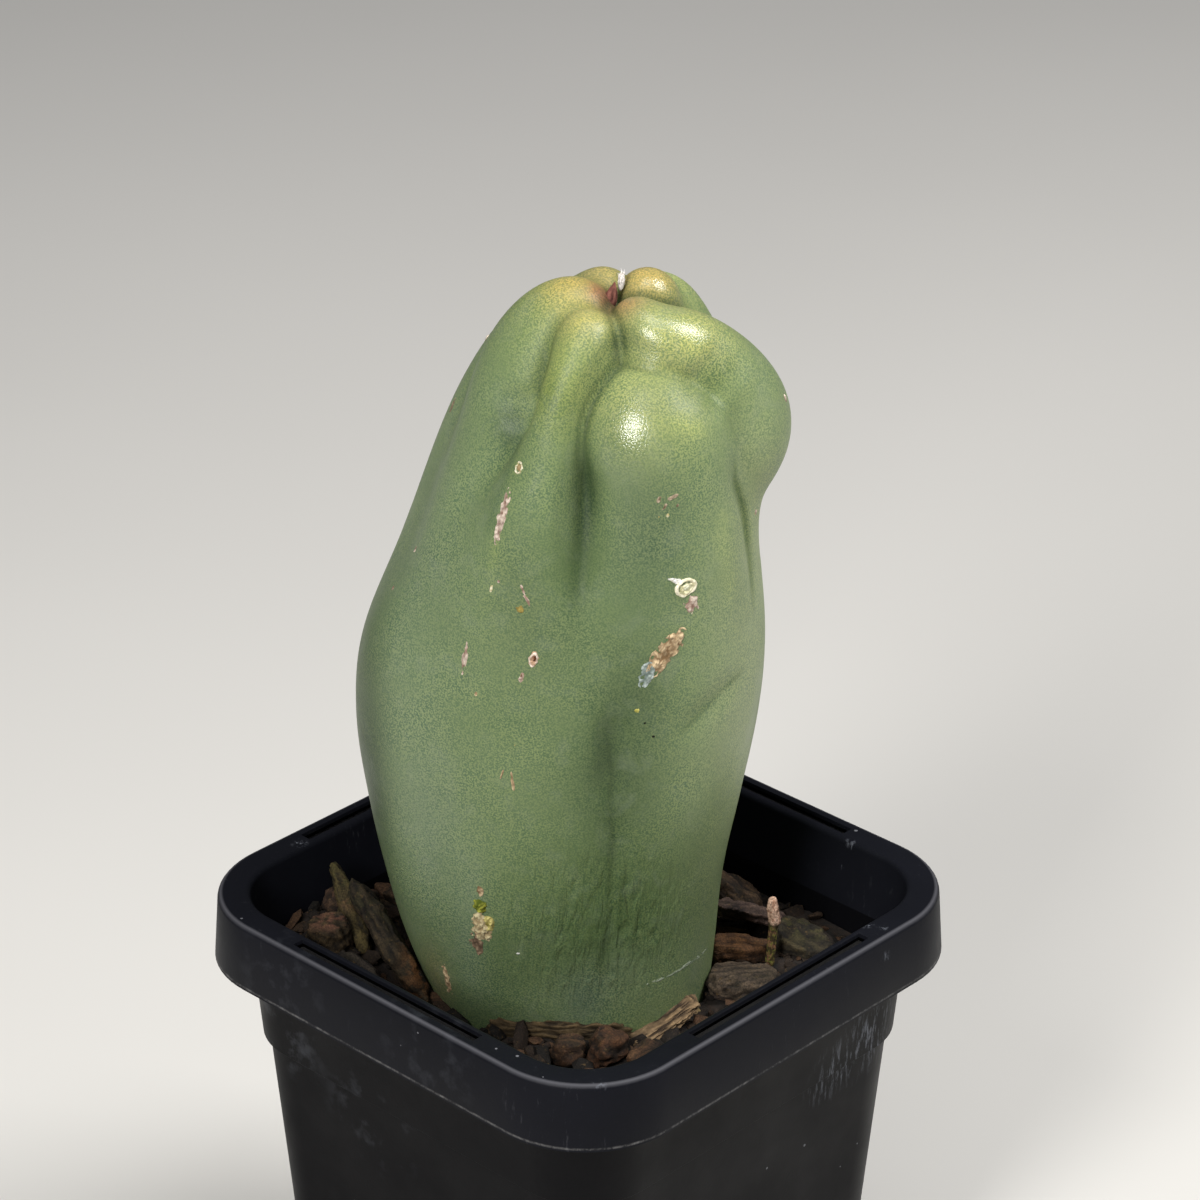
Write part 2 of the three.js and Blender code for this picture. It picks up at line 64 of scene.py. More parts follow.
# Pot, in millimetres
RIM_WIDTH = 90
RIM_CORNER = 16.7
POT_HEIGHT = 95
SKIRT_DEPTH = 11.1
SKIRT_FLARE = 0.63
SKIRT_WALL = 1.2
RIM_PLATE = 1.3
WALL_TOP_HALF = 40.9
WALL = 1.05
TAPER = 0.07
WALL_STEP_DEPTH = 25.5
WALL_STEP = 0.8
FOOT_INSET = 4.5
FOOT_HEIGHT = 1.6
FLOOR_TOP = 3
SLOT_SIZE = (39, 2)
SLOT_OFFSET = 42.1
DRAIN_RADIUS = 3.5
DRAIN_OFFSET = 17
RIM_ROUND = 0.9
FOOT_CHAMFER = 0.9
EDGE_ROUND = 0.28
EDGE_ANGLE = 42
SMOOTH_ANGLE = 35
SAME_HEIGHT = 0.01
# Edges nearer than this to the rim's outside are rounded as its outer edge
OUTER_BAND = 6
# Taken off the reach of the rim's corners, which lie further out than its sides
CORNER_EXCESS = 8.5

# Stem, in millimetres in its own frame: minus Y comes out of its best side, Z counts from the rim
STEM_TURN = math.radians(43.35)
TURN_COS, TURN_SIN = math.cos(STEM_TURN), math.sin(STEM_TURN)
SOIL_DEPTH = 16.5
# The skin is found along rays from a leaning axis, which has these X at its foot and its head. Under the
# lower of the two heights and over the upper one the rays fan out.
AXIS_LOW = -2.4
AXIS_HIGH = 4.2
FAN_LOW = -37
FAN_HIGH = 68
STEM_SEGMENTS = 336
RAY_LENGTH = 42
RAY_ROUNDS = 60
RAY_STEP = 0.85
RAY_NEAR = 0.004
# Rays are eased where their reach jumps from one to the next by more than the first slope, and wholly so
# from the second. The slope is reckoned for a ray of the usual reach.
JUMP_SLOPES = (0.7, 1.7)
USUAL_REACH = 25
SPREAD_ROUNDS = 3
EASE_ROUNDS = 16

# Balls along each limb: place and radius
LIMBS = {
    "left": [
        (-7, -1, -40, 9.5), (-9.8, -1, -15, 13.4), (-13.2, -2, 3, 15.8), (-16, -2, 20, 16.5),
        (-17.5, -2, 33, 16.6), (-17.5, -2, 42, 15.8), (-14.8, -2, 49, 13.7), (-12.2, -2, 57, 12.6),
        (-10, -1.6, 66, 11.9), (-8, -1, 74, 11), (-6.4, -0.4, 82, 10.3), (-5, 0, 89.4, 9.1),
        (-2.6, -0.4, 95.5, 6.8), (0.1, -1.2, 98.1, 4.8),
    ],
    "right": [
        (4.6, 1, -40, 8.6), (7, -0.4, -15, 12.2), (7.3, -0.2, 3, 12.9), (10.3, 0, 20, 13.8),
        (12.1, 0, 33, 13.9), (14.2, 0, 44, 13.5), (14.1, 0, 52, 13.1), (13.6, 0, 60, 12.5),
        (12.8, 0, 68, 12), (12, 0, 80, 10.5),
    ],
    "core": [
        (-4, -5, 50, 12), (-2.5, -5.5, 62, 11.5), (-1, -5.5, 72, 10.5), (0, -5, 80, 9.5),
        (1.5, -4, 87, 8.5), (3, -3, 93, 6.5),
    ],
    "ear": [
        (11, -1, 60, 11), (14.9, -1, 67, 9.9), (18.4, -1.2, 73.4, 9.3), (21.5, -1.9, 80.5, 9.8),
        (19.8, -3.2, 86.2, 8.8), (17, -5, 91.4, 7.1), (14, -6.8, 95.3, 5.4),
        (11.4, -7.7, 96.4, 4.4), (9.4, -6.6, 97.8, 3.6), (7.8, -4.8, 98.9, 2.9),
    ],
    "rear_right": [
        (5, 6, -40, 8.6), (6.6, 8, -15, 12), (10, 11, 10, 14.3), (13, 12, 35, 15.6),
        (12, 12, 60, 13.8), (12, 11, 78, 11.6), (11.6, 9.5, 88, 9), (10.8, 8.4, 93.8, 6.7),
    ],
    "rear": [
        (-3, 8, -40, 8.6), (-3, 9, -15, 12.6), (-3, 13, 10, 15), (-3, 14, 35, 16),
        (-2, 14, 60, 14), (-0.4, 13, 78, 12), (1.6, 9, 90, 8), (3.7, 5.2, 98.5, 3.4),
    ],
    "rear_left": [
        (-8, 5, -40, 8.6), (-12, 7, -15, 11.4), (-16, 9, 10, 13.6), (-18, 10, 35, 14.6),
        (-12.6, 10, 60, 12.6), (-8, 9, 78, 10.5), (-4.2, 7, 89, 7.8), (-0.8, 4.4, 94.5, 4.8),
    ],
    "knob": [(10.4, 4.5, 94, 5), (9.9, 2.4, 99.4, 4.4)],
    "second": [
        (-4, -3, -40, 8.6), (-6, -5, -15, 11.6), (-6, -8, 10, 13.3), (-6, -10, 40, 13.8),
        (-6.2, -11.2, 56, 11.8), (-6.2, -12.2, 66, 9.4), (-5.6, -13.6, 73, 6.6),
        (-4.4, -14.4, 79, 4.5), (-3.9, -14.5, 84, 3.2), (-3.1, -14, 88, 2.6),
        (-1.9, -12.8, 91.6, 2.5), (-0.2, -10.7, 94.6, 3), (1.4, -7.6, 97.1, 4.2),
    ],
    "centre": [
        (2, -2, -40, 8.6), (3.4, -4.4, -15, 13.9), (4, -6, 10, 15.5), (7, -8, 30, 16),
        (8.4, -8.5, 45, 16), (10, -9, 60, 14.8), (11, -9, 70, 13.6), (11, -9.2, 77, 12.8),
        (11.6, -9.4, 82.4, 11.6), (9.9, -10, 83.3, 11.4),
    ],
}
# Valleys pressed into the skin: points along each, half width and depth
DENTS = [
    ([
        (5.4, -24.6, 50), (5.2, -24.4, 44), (4.8, -23.9, 34),
        (4.4, -23.6, 24), (4, -22.6, 8), (3.2, -21, -6),
    ], 3.6, 0.7),
    ([(5.6, -24.6, 45), (5.1, -24.2, 40), (4.7, -23.8, 33), (4.5, -23.7, 27)], 2.2, 1),
    ([(25, -12.9, 46), (21.3, -18, 44.2), (18, -20.9, 42), (13, -23.2, 39)], 2.4, 0.5),
    ([(0.2, -17.4, 84), (1, -18.6, 78), (0.8, -19.6, 72), (0, -20.8, 65), (-0.6, -22.2, 56)], 2.8, 1.4),
    ([(-9, -10.4, 91), (-9.9, -11.8, 87.4), (-10.6, -13.2, 83.5)], 3, 1.3),
    ([
        (21, -14.6, 84), (22.3, -14.6, 77.4), (23.9, -12.6, 71.5),
        (25.2, -11.6, 64), (25.8, -10.6, 54),
    ], 1.3, 0.6),
    ([(17.2, -13.4, 96.4), (19.8, -12.6, 93), (22.8, -11.4, 89)], 4.2, 1),
]
# Gap between the balls of a limb as a share of their radius, how softly they melt together, and how much
# that swells them
BALL_GAP = 0.34
MELT = 0.8
MELT_SWELL = 0.45
# How widely each limb is blended into the ones before it: at its foot, how much less at its head, and
# between which heights that changes
BLENDS = [
    ("right", 6.5, 4.7, 45, 90),
    ("rear_right", 6.5, 4.7, 45, 90),
    ("rear", 6.5, 4.7, 45, 90),
    ("rear_left", 6.5, 4.7, 45, 90),
    ("core", 6.5, 4.7, 45, 90),
    ("knob", 1, 0, 0, 1),
    ("ear", 3.2, 1.8, 85, 98),
    ("second", 8, 6.6, 54, 82),
    ("centre", 8, 7, 56, 85),
]

# Colours of the skin by place: middle in the stem's frame, reach in millimetres, colour, strength. Some are
# painted shade and painted light, each marked below
SKIN_BASE = "#70825a"
SKIN_TONES = [
    ((-26, -8, 40), (13, 16, 50), "#6f7e64", 0.75),
    # Painted shade along the left edge of the stem
    ((-33, -6, 36), (5, 10, 36), "#515f44", 0.8),
    # Painted light on the right side of the stem
    ((24, -10, 44), (10, 14, 46), "#939f78", 0.78),
    ((6, -24, 4), (14, 12, 22), "#4c6038", 0.8),
    ((-12, -18, -10), (12, 10, 12), "#42553a", 0.7),
    ((6, -20, -8), (15, 12, 7), "#7b8b66", 0.8),
    # Painted shade along the left edge
    ((-32, -9.5, 26), (4, 8, 22), "#46553a", 0.7),
    # The next five: painted shade in and beside the front valley, its dimple and the foot of the diagonal
    # groove
    ((7, -24, 31), (5, 6, 8), "#435335", 0.5),
    ((8.4, -24, 46), (6.5, 8, 11), "#48583a", 0.8),
    ((4, -24, 33), (8, 8, 9), "#526343", 0.65),
    ((4.4, -23.2, 38), (2.2, 5, 5.5), "#35462a", 0.75),
    ((5, -23.2, 28), (2.0, 5, 9), "#425433", 0.5),
    ((-6, -22, 60), (8, 8, 14), "#5c6c4a", 0.65),
    ((11, -23, 73), (7, 8, 13), "#56664a", 0.68),
    ((11, -20, 88), (6, 6, 6), "#7f8c5c", 0.5),
    ((9, -18, 92), (10, 8, 7), "#929b66", 0.8),
    ((15, -10, 99), (10, 9, 6), "#a3a868", 0.85),
    ((-3, 0, 98), (8, 8, 8), "#8f9a5c", 0.75),
    ((-3, -13, 93), (5, 5, 9), "#8d9858", 0.8),
    ((-1, -2, 103), (5, 5, 3.6), "#aa9a58", 0.9),
    ((0.6, -9, 101.5), (4.5, 4, 3.4), "#a9a260", 0.85),
    ((10, 2, 104), (6, 6, 5), "#b99f5c", 0.95),
    ((6.6, -6.4, 102.5), (2.8, 2.8, 2.6), "#a08458", 0.9),
    ((13, 9, 99), (6, 6, 7), "#a3ad70", 0.85),
    ((2.7, 5.2, 102), (4.5, 4.5, 3.4), "#a0925c", 0.8),
    ((2.6, -2.4, 102.0), (2.0, 2.4, 1.8), "#9a6c4a", 0.8),
    ((4.4, -2.2, 100.4), (2.3, 3.4, 2.6), "#6a3c34", 0.95),
    ((1.2, -20.6, -8), (4, 5, 6), "#55665a", 0.6),
    ((-22, -16, 20), (5, 6, 14), "#74826e", 0.5),
    ((-16.5, -16, 4), (2.6, 8, 12), "#81907c", 0.5),
    ((-3.9, -16.1, 91), (2.6, 4, 3.6), "#5f7038", 0.6),
    ((11, -17, 91.5), (6, 5, 4), "#727d4c", 0.65),
    # Painted shade in the dent between the brow and the ear
    ((22, -11.5, 89.5), (4, 5, 5), "#65744e", 0.5),
    # Painted shade in the valley between the ridge and the lobe
    ((1.3, -17, 76), (1.6, 4, 6), "#2f4026", 0.7),
    ((9, -22, 68), (5, 6, 9), "#56674a", 0.35),
    ((1.5, -13.5, 90.5), (1.6, 4, 3), "#8a9660", 0.5),
    ((-9.2, -22, 63), (4, 5, 8), "#5b6b49", 0.4),
    # Painted light on the right edge
    ((26, -9, 72), (4, 6, 12), "#96a070", 0.35),
    ((18.5, -11.5, -8.7), (3, 4, 6), "#79876a", 0.6),
    ((6.8, -21, -3), (5, 5, 6), "#66765a", 0.45),
    # Painted shade along the left edge
    ((-31.6, -9.7, 24), (2.8, 5, 14), "#36452f", 0.75),
    # Painted shade in the pit left of the ridge
    ((-10.2, -10.4, 84), (2.7, 4, 3.4), "#455739", 0.85),
    # Painted shade in the dent between the brow and the ear
    ((19.5, -12.4, 92), (3.6, 4, 3.4), "#5f7040", 0.5),
    ((-22, -12, -9), (2.4, 5, 7), "#7f7858", 0.6),
]
# Colour of the painted shade in the creases
CREASE_SHADE_COLOUR = "#33432a"
# Creases, where painted shade darkens the skin, are found by how little free room there is over the skin, at
# these two heights
CREASE_NEAR = 1.4
CREASE_FAR = 4.5
# Places with the gloss of new skin: middle, reach and strength
SHINE = [
    ((6.5, -20, 87), (4.5, 6, 8), 1.0),
    ((12, -11, 99.5), (11, 6, 5), 1.0),
    ((11, 0.5, 103), (4, 5, 4), 1.0),
    ((1.5, -9.5, 101), (4, 4, 3), 0.4),
    ((-1, -3, 103), (4, 4, 3), 0.3),
]
BASE_SHINE = 0.3
# Middle of the folded skin low on the front
FOLDED_PLACE = (2.5, -22.5, 6)
# Lines on the skin: points along each, half width, colour and strength. Some are painted shade along valleys,
# folds and dents, and some painted light along crests, each marked below
SKIN_LINES = [
    # Painted shade along the front valley
    ([(5.2, -24.2, 42), (4.8, -24, 27), (3.9, -22.6, 8), (2.6, -20.8, -8)], 1.6, "#40512f", 0.35),
    # Painted shade in the thin cleft under the dimple
    ([
        (4.2, -23.3, 44), (4.3, -23.2, 39), (5, -23.2, 33), (4.6, -23.2, 28), (5.1, -23, 22),
        (4.6, -22.7, 16), (4.6, -22, 8), (3.6, -21.3, 0), (2.8, -20.6, -8),
    ], 0.4, "#26341e", 0.48),
    # Painted shade along a fold low on the front
    ([(7.4, -22, 22), (6.6, -22, 12), (6.4, -21.4, 3)], 0.5, "#3a4b2c", 0.5),
    ([(-16.6, -17.4, 52), (-17.6, -18, 44), (-20, -18.4, 33)], 0.4, "#56684a", 0.7),
    ([(-23, -16, 42), (-22.4, -16.6, 28), (-21, -16.6, 14)], 0.8, "#5b6c52", 0.6),
    ([(-27.4, -12, 40), (-26.6, -12.6, 26), (-24.6, -12.6, 10)], 1.2, "#57684d", 0.6),
    ([(-19, -17.6, 22), (-18.4, -17.6, 10), (-17.6, -17, -2)], 0.5, "#8f9c86", 0.5),
    # Painted shade in the valley between the ridge and the lobe
    ([
        (0.9, -16, 86), (1.2, -17.2, 77), (0.4, -18.6, 70), (-0.4, -20.6, 63), (-1.2, -22.4, 52),
    ], 1.7, "#314228", 0.75),
    # Painted shade along the diagonal groove
    ([(25.4, -12.6, 46.2), (21.3, -18, 44.2), (18, -20.9, 42), (13.5, -23.2, 39)], 0.5, "#4c5e3a", 0.55),
    # Painted shade in the crease between the lobe and the ear
    ([
        (21.2, -14.2, 85), (22.7, -14, 77.4), (24.3, -12, 71.5), (25.4, -11, 62), (26, -10, 48),
    ], 0.6, "#5d7040", 0.7),
    # Painted highlight along the ridge's crest
    ([
        (-7, -14.2, 86), (-8.6, -16.2, 80), (-10.4, -17.6, 74), (-11.8, -19, 68), (-12.6, -20, 58),
    ], 0.9, "#97a462", 0.6),
    # Painted shade in the pit and crease left of the ridge
    ([(-9.6, -13.2, 87), (-10.6, -15.4, 81), (-12.4, -17, 75), (-13.6, -18.6, 69)], 1.7, "#56694a", 0.6),
    # Painted light on the lobe's right flank
    ([(20.4, -17.4, 76), (21, -18.2, 68), (22.4, -17.2, 58)], 1.6, "#93a06a", 0.5),
    # Painted light on the top of the lobe
    ([(5.4, -21.4, 88), (13, -20.8, 90.6), (19.4, -17.4, 86)], 1.5, "#9ea764", 0.4),
]


def linear(hex_colour):
    """An sRGB hex colour as the linear colour that a shader takes."""
    parts = [int(hex_colour[i:i + 2], 16) / 255 for i in (1, 3, 5)]
    return tuple(c / 12.92 if c <= 0.04045 else ((c + 0.055) / 1.055) ** 2.4 for c in parts) + (1.0,)


def fill(node, inputs):
    """Gives a shader node's inputs their values: a number, a colour in hex, or a node or an output, which is
    linked. Inputs in a tuple follow the node's own order, such as a Map Range's value, from min, from max,
    to min and to max, or a Mix's share and its two colours."""
    if isinstance(inputs, tuple):
        pairs = list(zip([socket for socket in node.inputs if socket.enabled], inputs))
    else:
        pairs = [(node.inputs[name], value) for name, value in inputs.items()]
    for socket, value in pairs:
        if isinstance(value, bpy.types.Node):
            value = next(output for output in value.outputs if output.enabled)
        if isinstance(value, bpy.types.NodeSocket):
            node.id_data.links.new(value, socket)
        else:
            socket.default_value = linear(value) if isinstance(value, str) else value


def add_node(tree, kind, inputs=(), **settings):
    """A shader node with its settings, its values and its links."""
    node = tree.nodes.new("ShaderNode" + kind)
    for key, value in settings.items():
        setattr(node, key, value)
    fill(node, inputs)
    return node


COLOURS = {"data_type": "RGBA", "clamp_factor": True}


def new_material(name):
    """An empty material, its shader, its Object coordinates, and the function that adds nodes to it."""
    material = bpy.data.materials.new(name)
    material.use_nodes = True
    tree = material.node_tree
    add = partial(add_node, tree)
    return material, tree.nodes["Principled BSDF"], add("TexCoord").outputs["Object"], add


def smooth_step(low, high, value):
    t = np.clip((value - low) / (high - low), 0, 1)
    return t * t * (3 - 2 * t)


def ends_faded(along, reach):
    """1 along a line, and down to 0 over a reach at each of its ends."""
    return smooth_step(0, reach, along) * smooth_step(0, reach, 1 - along)


def unit(rows):
    return rows / np.linalg.norm(rows, axis=1, keepdims=True)


def stem_to_row(points):
    """Points of the stem's frame, in millimetres, in the pot's frame in metres."""
    x, y, z = np.asarray(points, float).reshape(-1, 3).T
    across, through = TURN_COS * x - TURN_SIN * y, TURN_SIN * x + TURN_COS * y
    return np.stack([across, through, z + POT_HEIGHT], axis=1) * MM


# The stem's form: balls along each limb melt together, and the limbs are then blended

def limb_balls(rows):
    rows = np.array(rows, float)
    balls = []
    for i in range(len(rows) - 1):
        before, start, end, after = (rows[min(max(k, 0), len(rows) - 1)] for k in range(i - 1, i + 3))
        length = np.linalg.norm(end[:3] - start[:3])
        steps = max(1, math.ceil(length / (BALL_GAP * min(start[3], end[3]))))
        for step in range(steps):
            t = step / steps
            balls.append(0.5 * (
                2 * start
                + (end - before) * t
                + (2 * before - 5 * start + 4 * end - after) * t ** 2
                + (3 * start - before - 3 * end + after) * t ** 3
            ))
    balls.append(rows[-1])
    return np.array(balls, np.float32)


BALLS = {name: limb_balls(rows) for name, rows in LIMBS.items()}


def limb_distance(points, name):
    x, y, z = points.T
    reaches = np.stack([
        np.sqrt((x - bx) ** 2 + (y - by) ** 2 + (z - bz) ** 2) - radius
        for bx, by, bz, radius in BALLS[name]
    ])
    nearest = reaches.min(axis=0)
    total = np.exp((nearest - reaches) / MELT).sum(axis=0)
    return nearest - MELT * np.log(total) + MELT_SWELL


def blend(a, b, reach):
    overlap = np.maximum(reach - np.abs(a - b), 0) / reach
    return np.minimum(a, b) - overlap ** 2 * reach / 4


def path_distance(points, path):
    """Distance to a line of points, and how far along it the nearest place is, from 0 to 1."""
    nearest = np.full(len(points), 1e9, np.float32)
    along = np.zeros(len(points), np.float32)
    for i in range(len(path) - 1):
        start = np.array(path[i], np.float32)
        way = np.array(path[i + 1], np.float32) - start
        t = np.clip((points - start) @ way / (way @ way), 0, 1)
        distance = np.linalg.norm(points - start - t[:, None] * way, axis=1)
        along = np.where(distance < nearest, (i + t) / (len(path) - 1), along)
        nearest = np.minimum(nearest, distance)
    return nearest, along


def stem_distance(points):
    """Distance to the skin, below zero inside the stem."""
    points = np.asarray(points, np.float32)
    distance = limb_distance(points, "left")
    for name, wide, less, low, high in BLENDS:
        reach = wide - less * smooth_step(low, high, points[:, 2])
        distance = blend(distance, limb_distance(points, name), reach)
    for path, width, depth in DENTS:
        nearest, along = path_distance(points, path)
        distance = distance + depth * ends_faded(along, 0.35) * np.exp(-((nearest / width) ** 2))
    return distance


def skin_normals(points, step=0.08):
    points = np.asarray(points, np.float32)
    sides = []
    for axis in range(3):
        shift = np.zeros(3, np.float32)
        shift[axis] = step
        sides.append(stem_distance(points + shift) - stem_distance(points - shift))
    return unit(np.stack(sides, axis=1))


def onto_skin(points, rounds=4):
    """Points near the skin, moved onto it along its normals, with the normals there."""
    points = np.asarray(points, np.float32)
    for _ in range(rounds):
        normals = skin_normals(points)
        points = points - normals * stem_distance(points)[:, None]
    return points, skin_normals(points)


# Helpers for meshes

def deselect_all():
    bpy.ops.object.select_all(action="DESELECT")
    bpy.context.view_layer.objects.active = None


def make_active(piece):
    deselect_all()
    piece.select_set(True)
    bpy.context.view_layer.objects.active = piece


def primitive(name, shape, **settings):
    """A primitive made by its operator, named and with its place in its mesh."""
    deselect_all()
    shape(**settings)
    piece = bpy.context.active_object
    piece.name = name
    piece.data.name = name
    make_active(piece)
    bpy.ops.object.transform_apply(location=True, rotation=True, scale=True)
    return piece


def mesh_points(piece):
    points = np.zeros(len(piece.data.vertices) * 3, np.float32)
    piece.data.vertices.foreach_get("co", points)
    return points.reshape(-1, 3)


def set_mesh_points(piece, points):
    piece.data.vertices.foreach_set("co", np.asarray(points, np.float32).ravel())
    piece.data.update()


def set_tone(piece, colours):
    """Stores a colour for each point of a piece, for its material to read."""
    layer = piece.data.color_attributes.new("tone", "FLOAT_COLOR", "POINT")
    layer.data.foreach_set("color", np.asarray(colours, np.float32).ravel())


def set_grain(piece, grain):
    """Stores the millimetres along, across and through the grain at each point, for bark to read."""
    layer = piece.data.attributes.new("grain", "FLOAT_VECTOR", "POINT")
    layer.data.foreach_set("vector", np.asarray(grain, np.float32).ravel())


def mixed(a, b, share):
    """Rows of linear colours between a and b, each given in hex or as linear colours."""
    a, b = (np.asarray(linear(c) if isinstance(c, str) else c) for c in (a, b))
    share = np.clip(np.asarray(share, float), 0, 1)[:, None]
    return a * (1 - share) + b * share


def modify(piece, kind, settings):
    """Adds a modifier with its settings and applies it."""
    make_active(piece)
    modifier = piece.modifiers.new(kind.lower(), kind)
    for key, value in settings.items():
        setattr(modifier, key, value)
    bpy.ops.object.modifier_apply(modifier=modifier.name)


def finish_piece(piece, material, nodes=(), sharp=None):
    """Smooths a piece, apart from edges sharper than an angle if one is given in degrees, gives it its
    material and slot, seats it on the body and hides what it replaces."""
    make_active(piece)
    bpy.ops.object.shade_smooth()
    if sharp:
        bpy.ops.object.shade_smooth_by_angle(angle=math.radians(sharp))
    piece.data.materials.clear()
    piece.data.materials.append(material)
    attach(piece, "root")
    if nodes:
        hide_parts(*nodes)
    deselect_all()


def finish_on_skin(piece, points, colours, material, nodes=()):
    """Finishes a piece of the skin from its points in the stem's frame and the colour of each."""
    set_tone(piece, colours)
    set_mesh_points(piece, stem_to_row(points))
    finish_piece(piece, material, nodes)


def joined(name, pieces):
    make_active(pieces[0])
    for piece in pieces:
        piece.select_set(True)
    bpy.ops.object.join()
    whole = bpy.context.active_object
    whole.name = name
    whole.data.name = name
    return whole


def merged_copy(node, name):
    """A copy of a CAD node with its loose triangles merged into one skin."""
    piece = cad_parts[node].copy()
    piece.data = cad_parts[node].data.copy()
    for key in list(piece.keys()):
        if key.startswith("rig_"):
            del piece[key]
    piece.parent = None
    piece.name = name
    piece.data.name = name
    bpy.context.scene.collection.objects.link(piece)
    make_active(piece)
    bpy.ops.object.mode_set(mode="EDIT")
    bpy.ops.mesh.select_all(action="SELECT")
    bpy.ops.mesh.remove_doubles(threshold=0.00001)
    bpy.ops.object.mode_set(mode="OBJECT")
    return piece


# Materials

def cactus_skin():
    """Waxy cactus epidermis, grown: a thin bloom of wax over fine pores gives a soft gloss, strongest on
    the youngest skin, with a stipple of yellower dots on teal pores 0.4 mm apart, upright folds low on
    the front, and blotches where the bloom has worn off."""
    material, shader, place, add = new_material("waxy_cactus_epidermis")
    painted = add("Attribute", attribute_name="tone")
    shine = painted.outputs["Alpha"]
    stipple_gap = 0.42 * MM
    stipple = add("TexNoise", {"Vector": place, "Scale": 1.6 / stipple_gap, "Detail": 1})
    patches = add("TexNoise", {"Vector": place, "Scale": 1 / (9 * MM), "Detail": 4, "Roughness": 0.55})
    strength = add("MapRange", (patches, 0.3, 0.65, 0.35, 1))
    dots = add("MapRange", (stipple, 0.38, 0.62, -0.5, 0.5))
    dot_depth = add("Math", (dots, strength), operation="MULTIPLY")
    tint = add("MapRange", (dot_depth, -0.5, 0.5))
    dotted = add("Mix", (tint, (0.56, 0.68, 0.72, 1), (1.46, 1.34, 1.24, 1)), **COLOURS)
    stippled = add("VectorMath", (painted, dotted), operation="MULTIPLY")
    bloom_noise = add("TexNoise", {
        "Vector": place, "Scale": 1 / (5 * MM), "Detail": 6, "Roughness": 0.62, "Distortion": 0.4})
    bloom = add("MapRange", (bloom_noise, 0.52, 0.82, 0, 0.32))
    bloomed = add("Mix", (bloom, stippled, "#87917e"), **COLOURS)
    green_noise = add("TexNoise", {"Vector": place, "Scale": 1 / (14 * MM), "Detail": 3})
    greener = add("MapRange", (green_noise, 0.5, 0.75, 0, 0.25))
    coloured = add("Mix", (greener, bloomed, "#566b42"), **COLOURS)

    pores = add("Bump", {"Height": stipple, "Strength": 0.7, "Distance": 0.09 * MM})
    upright = add("Mapping", {"Vector": place, "Scale": (1, 1, 0.22)})
    folds = add("TexNoise", {"Vector": upright, "Scale": 1 / (1.3 * MM), "Distortion": 0.6})
    away = add("VectorMath", (place, tuple(stem_to_row([FOLDED_PLACE])[0])), operation="DISTANCE")
    folded = add("MapRange", (away, 21 * MM, 6 * MM, 0, 0.9))
    wrinkles = add("Bump", {"Height": folds, "Strength": folded, "Distance": 0.95 * MM, "Normal": pores})
    dullness = add("MapRange", (shine, 0, 1, 0.5, 0.2))
    uneven = add("MapRange", (patches, 0.3, 0.7, -0.04, 0.06))
    fill(shader, {
        "Base Color": coloured,
        "Normal": wrinkles,
        "Roughness": add("Math", (dullness, uneven)),
        "Specular IOR Level": add("MapRange", (shine, 0, 1, 0.12, 1)),
        "IOR": 1.45,
        "Subsurface Weight": 0.08,
        "Subsurface Radius": (0.6, 1.0, 0.3),
        "Subsurface Scale": 1.2 * MM,
    })
    return material


def scab_material():
    """Dried wound cork of a cactus: it has no wax, so it is dull, and its flakes give a broken light edge."""
    material, shader, place, add = new_material("dried_wound_cork")
    tone = add("Attribute", attribute_name="tone")
    flakes = add("TexNoise", {"Vector": place, "Scale": 1 / (0.7 * MM), "Detail": 5, "Roughness": 0.7})
    light = add("MapRange", (flakes, 0.3, 0.7, 0.62, 1.25))
    fill(shader, {
        "Base Color": add("VectorMath", (tone, light), operation="SCALE"),
        "Normal": add("Bump", {"Height": flakes, "Strength": 0.7, "Distance": 0.25 * MM}),
        "Roughness": 0.85,
        "Specular IOR Level": 0.25,
    })
    return material


def bark_material():
    """Composted conifer bark, split and damp: fibres two thirds of a millimetre wide run along each chip
    under a grit of a third of a millimetre, with ochre specks."""
    material, shader, place, add = new_material("composted_conifer_bark")
    tone = add("Attribute", attribute_name="tone")
    grain = add("Attribute", attribute_name="grain").outputs["Vector"]
    stretched = add("Mapping", {"Vector": grain, "Scale": (0.16, 1, 1)})
    fibres = add("TexNoise", {
        "Vector": stretched, "Scale": 1 / 0.7, "Detail": 5, "Roughness": 0.65, "Distortion": 0.3})
    shade = add("MapRange", (fibres, 0.3, 0.7, 0.6, 1.15))
    grit = add("TexNoise", {"Vector": place, "Scale": 1 / (0.32 * MM), "Detail": 5, "Roughness": 0.75})
    gritty = add("MapRange", (grit, 0.36, 0.66, 0.35, 1.5))
    both = add("Math", (shade, gritty), operation="MULTIPLY")
    toned = add("VectorMath", (tone, both), operation="SCALE")
    specks = add("TexNoise", {"Vector": place, "Scale": 1 / (0.7 * MM), "Detail": 4, "Roughness": 0.7})
    ochre = add("MapRange", (specks, 0.6, 0.68, 0, 0.6))
    ribs = add("Bump", {"Height": fibres, "Strength": 0.8, "Distance": 0.35 * MM})
    fill(shader, {
        "Base Color": add("Mix", (ochre, toned, "#5e4a2c"), **COLOURS),
        "Normal": add("Bump", {"Height": grit, "Strength": 0.9, "Distance": 0.18 * MM, "Normal": ribs}),
        "Roughness": 0.82,
        "Specular IOR Level": 0.3,
    })
    return material


def mix_material():
    """Peat and composted bark fines, damp: nearly black between the crumbs, with rusty fibres on top."""
    material, shader, place, add = new_material("damp_peat_and_bark_fines")
    crumbs = add("TexNoise", {"Vector": place, "Scale": 1 / (1.6 * MM), "Detail": 6, "Roughness": 0.7})
    share = add("MapRange", (crumbs, 0.35, 0.7))
    fill(shader, {
        "Base Color": add("Mix", (share, "#0d0a08", "#2e2118"), **COLOURS),
        "Normal": add("Bump", {"Height": crumbs, "Strength": 1, "Distance": 0.9 * MM}),
        "Roughness": 0.95,
    })
    return material


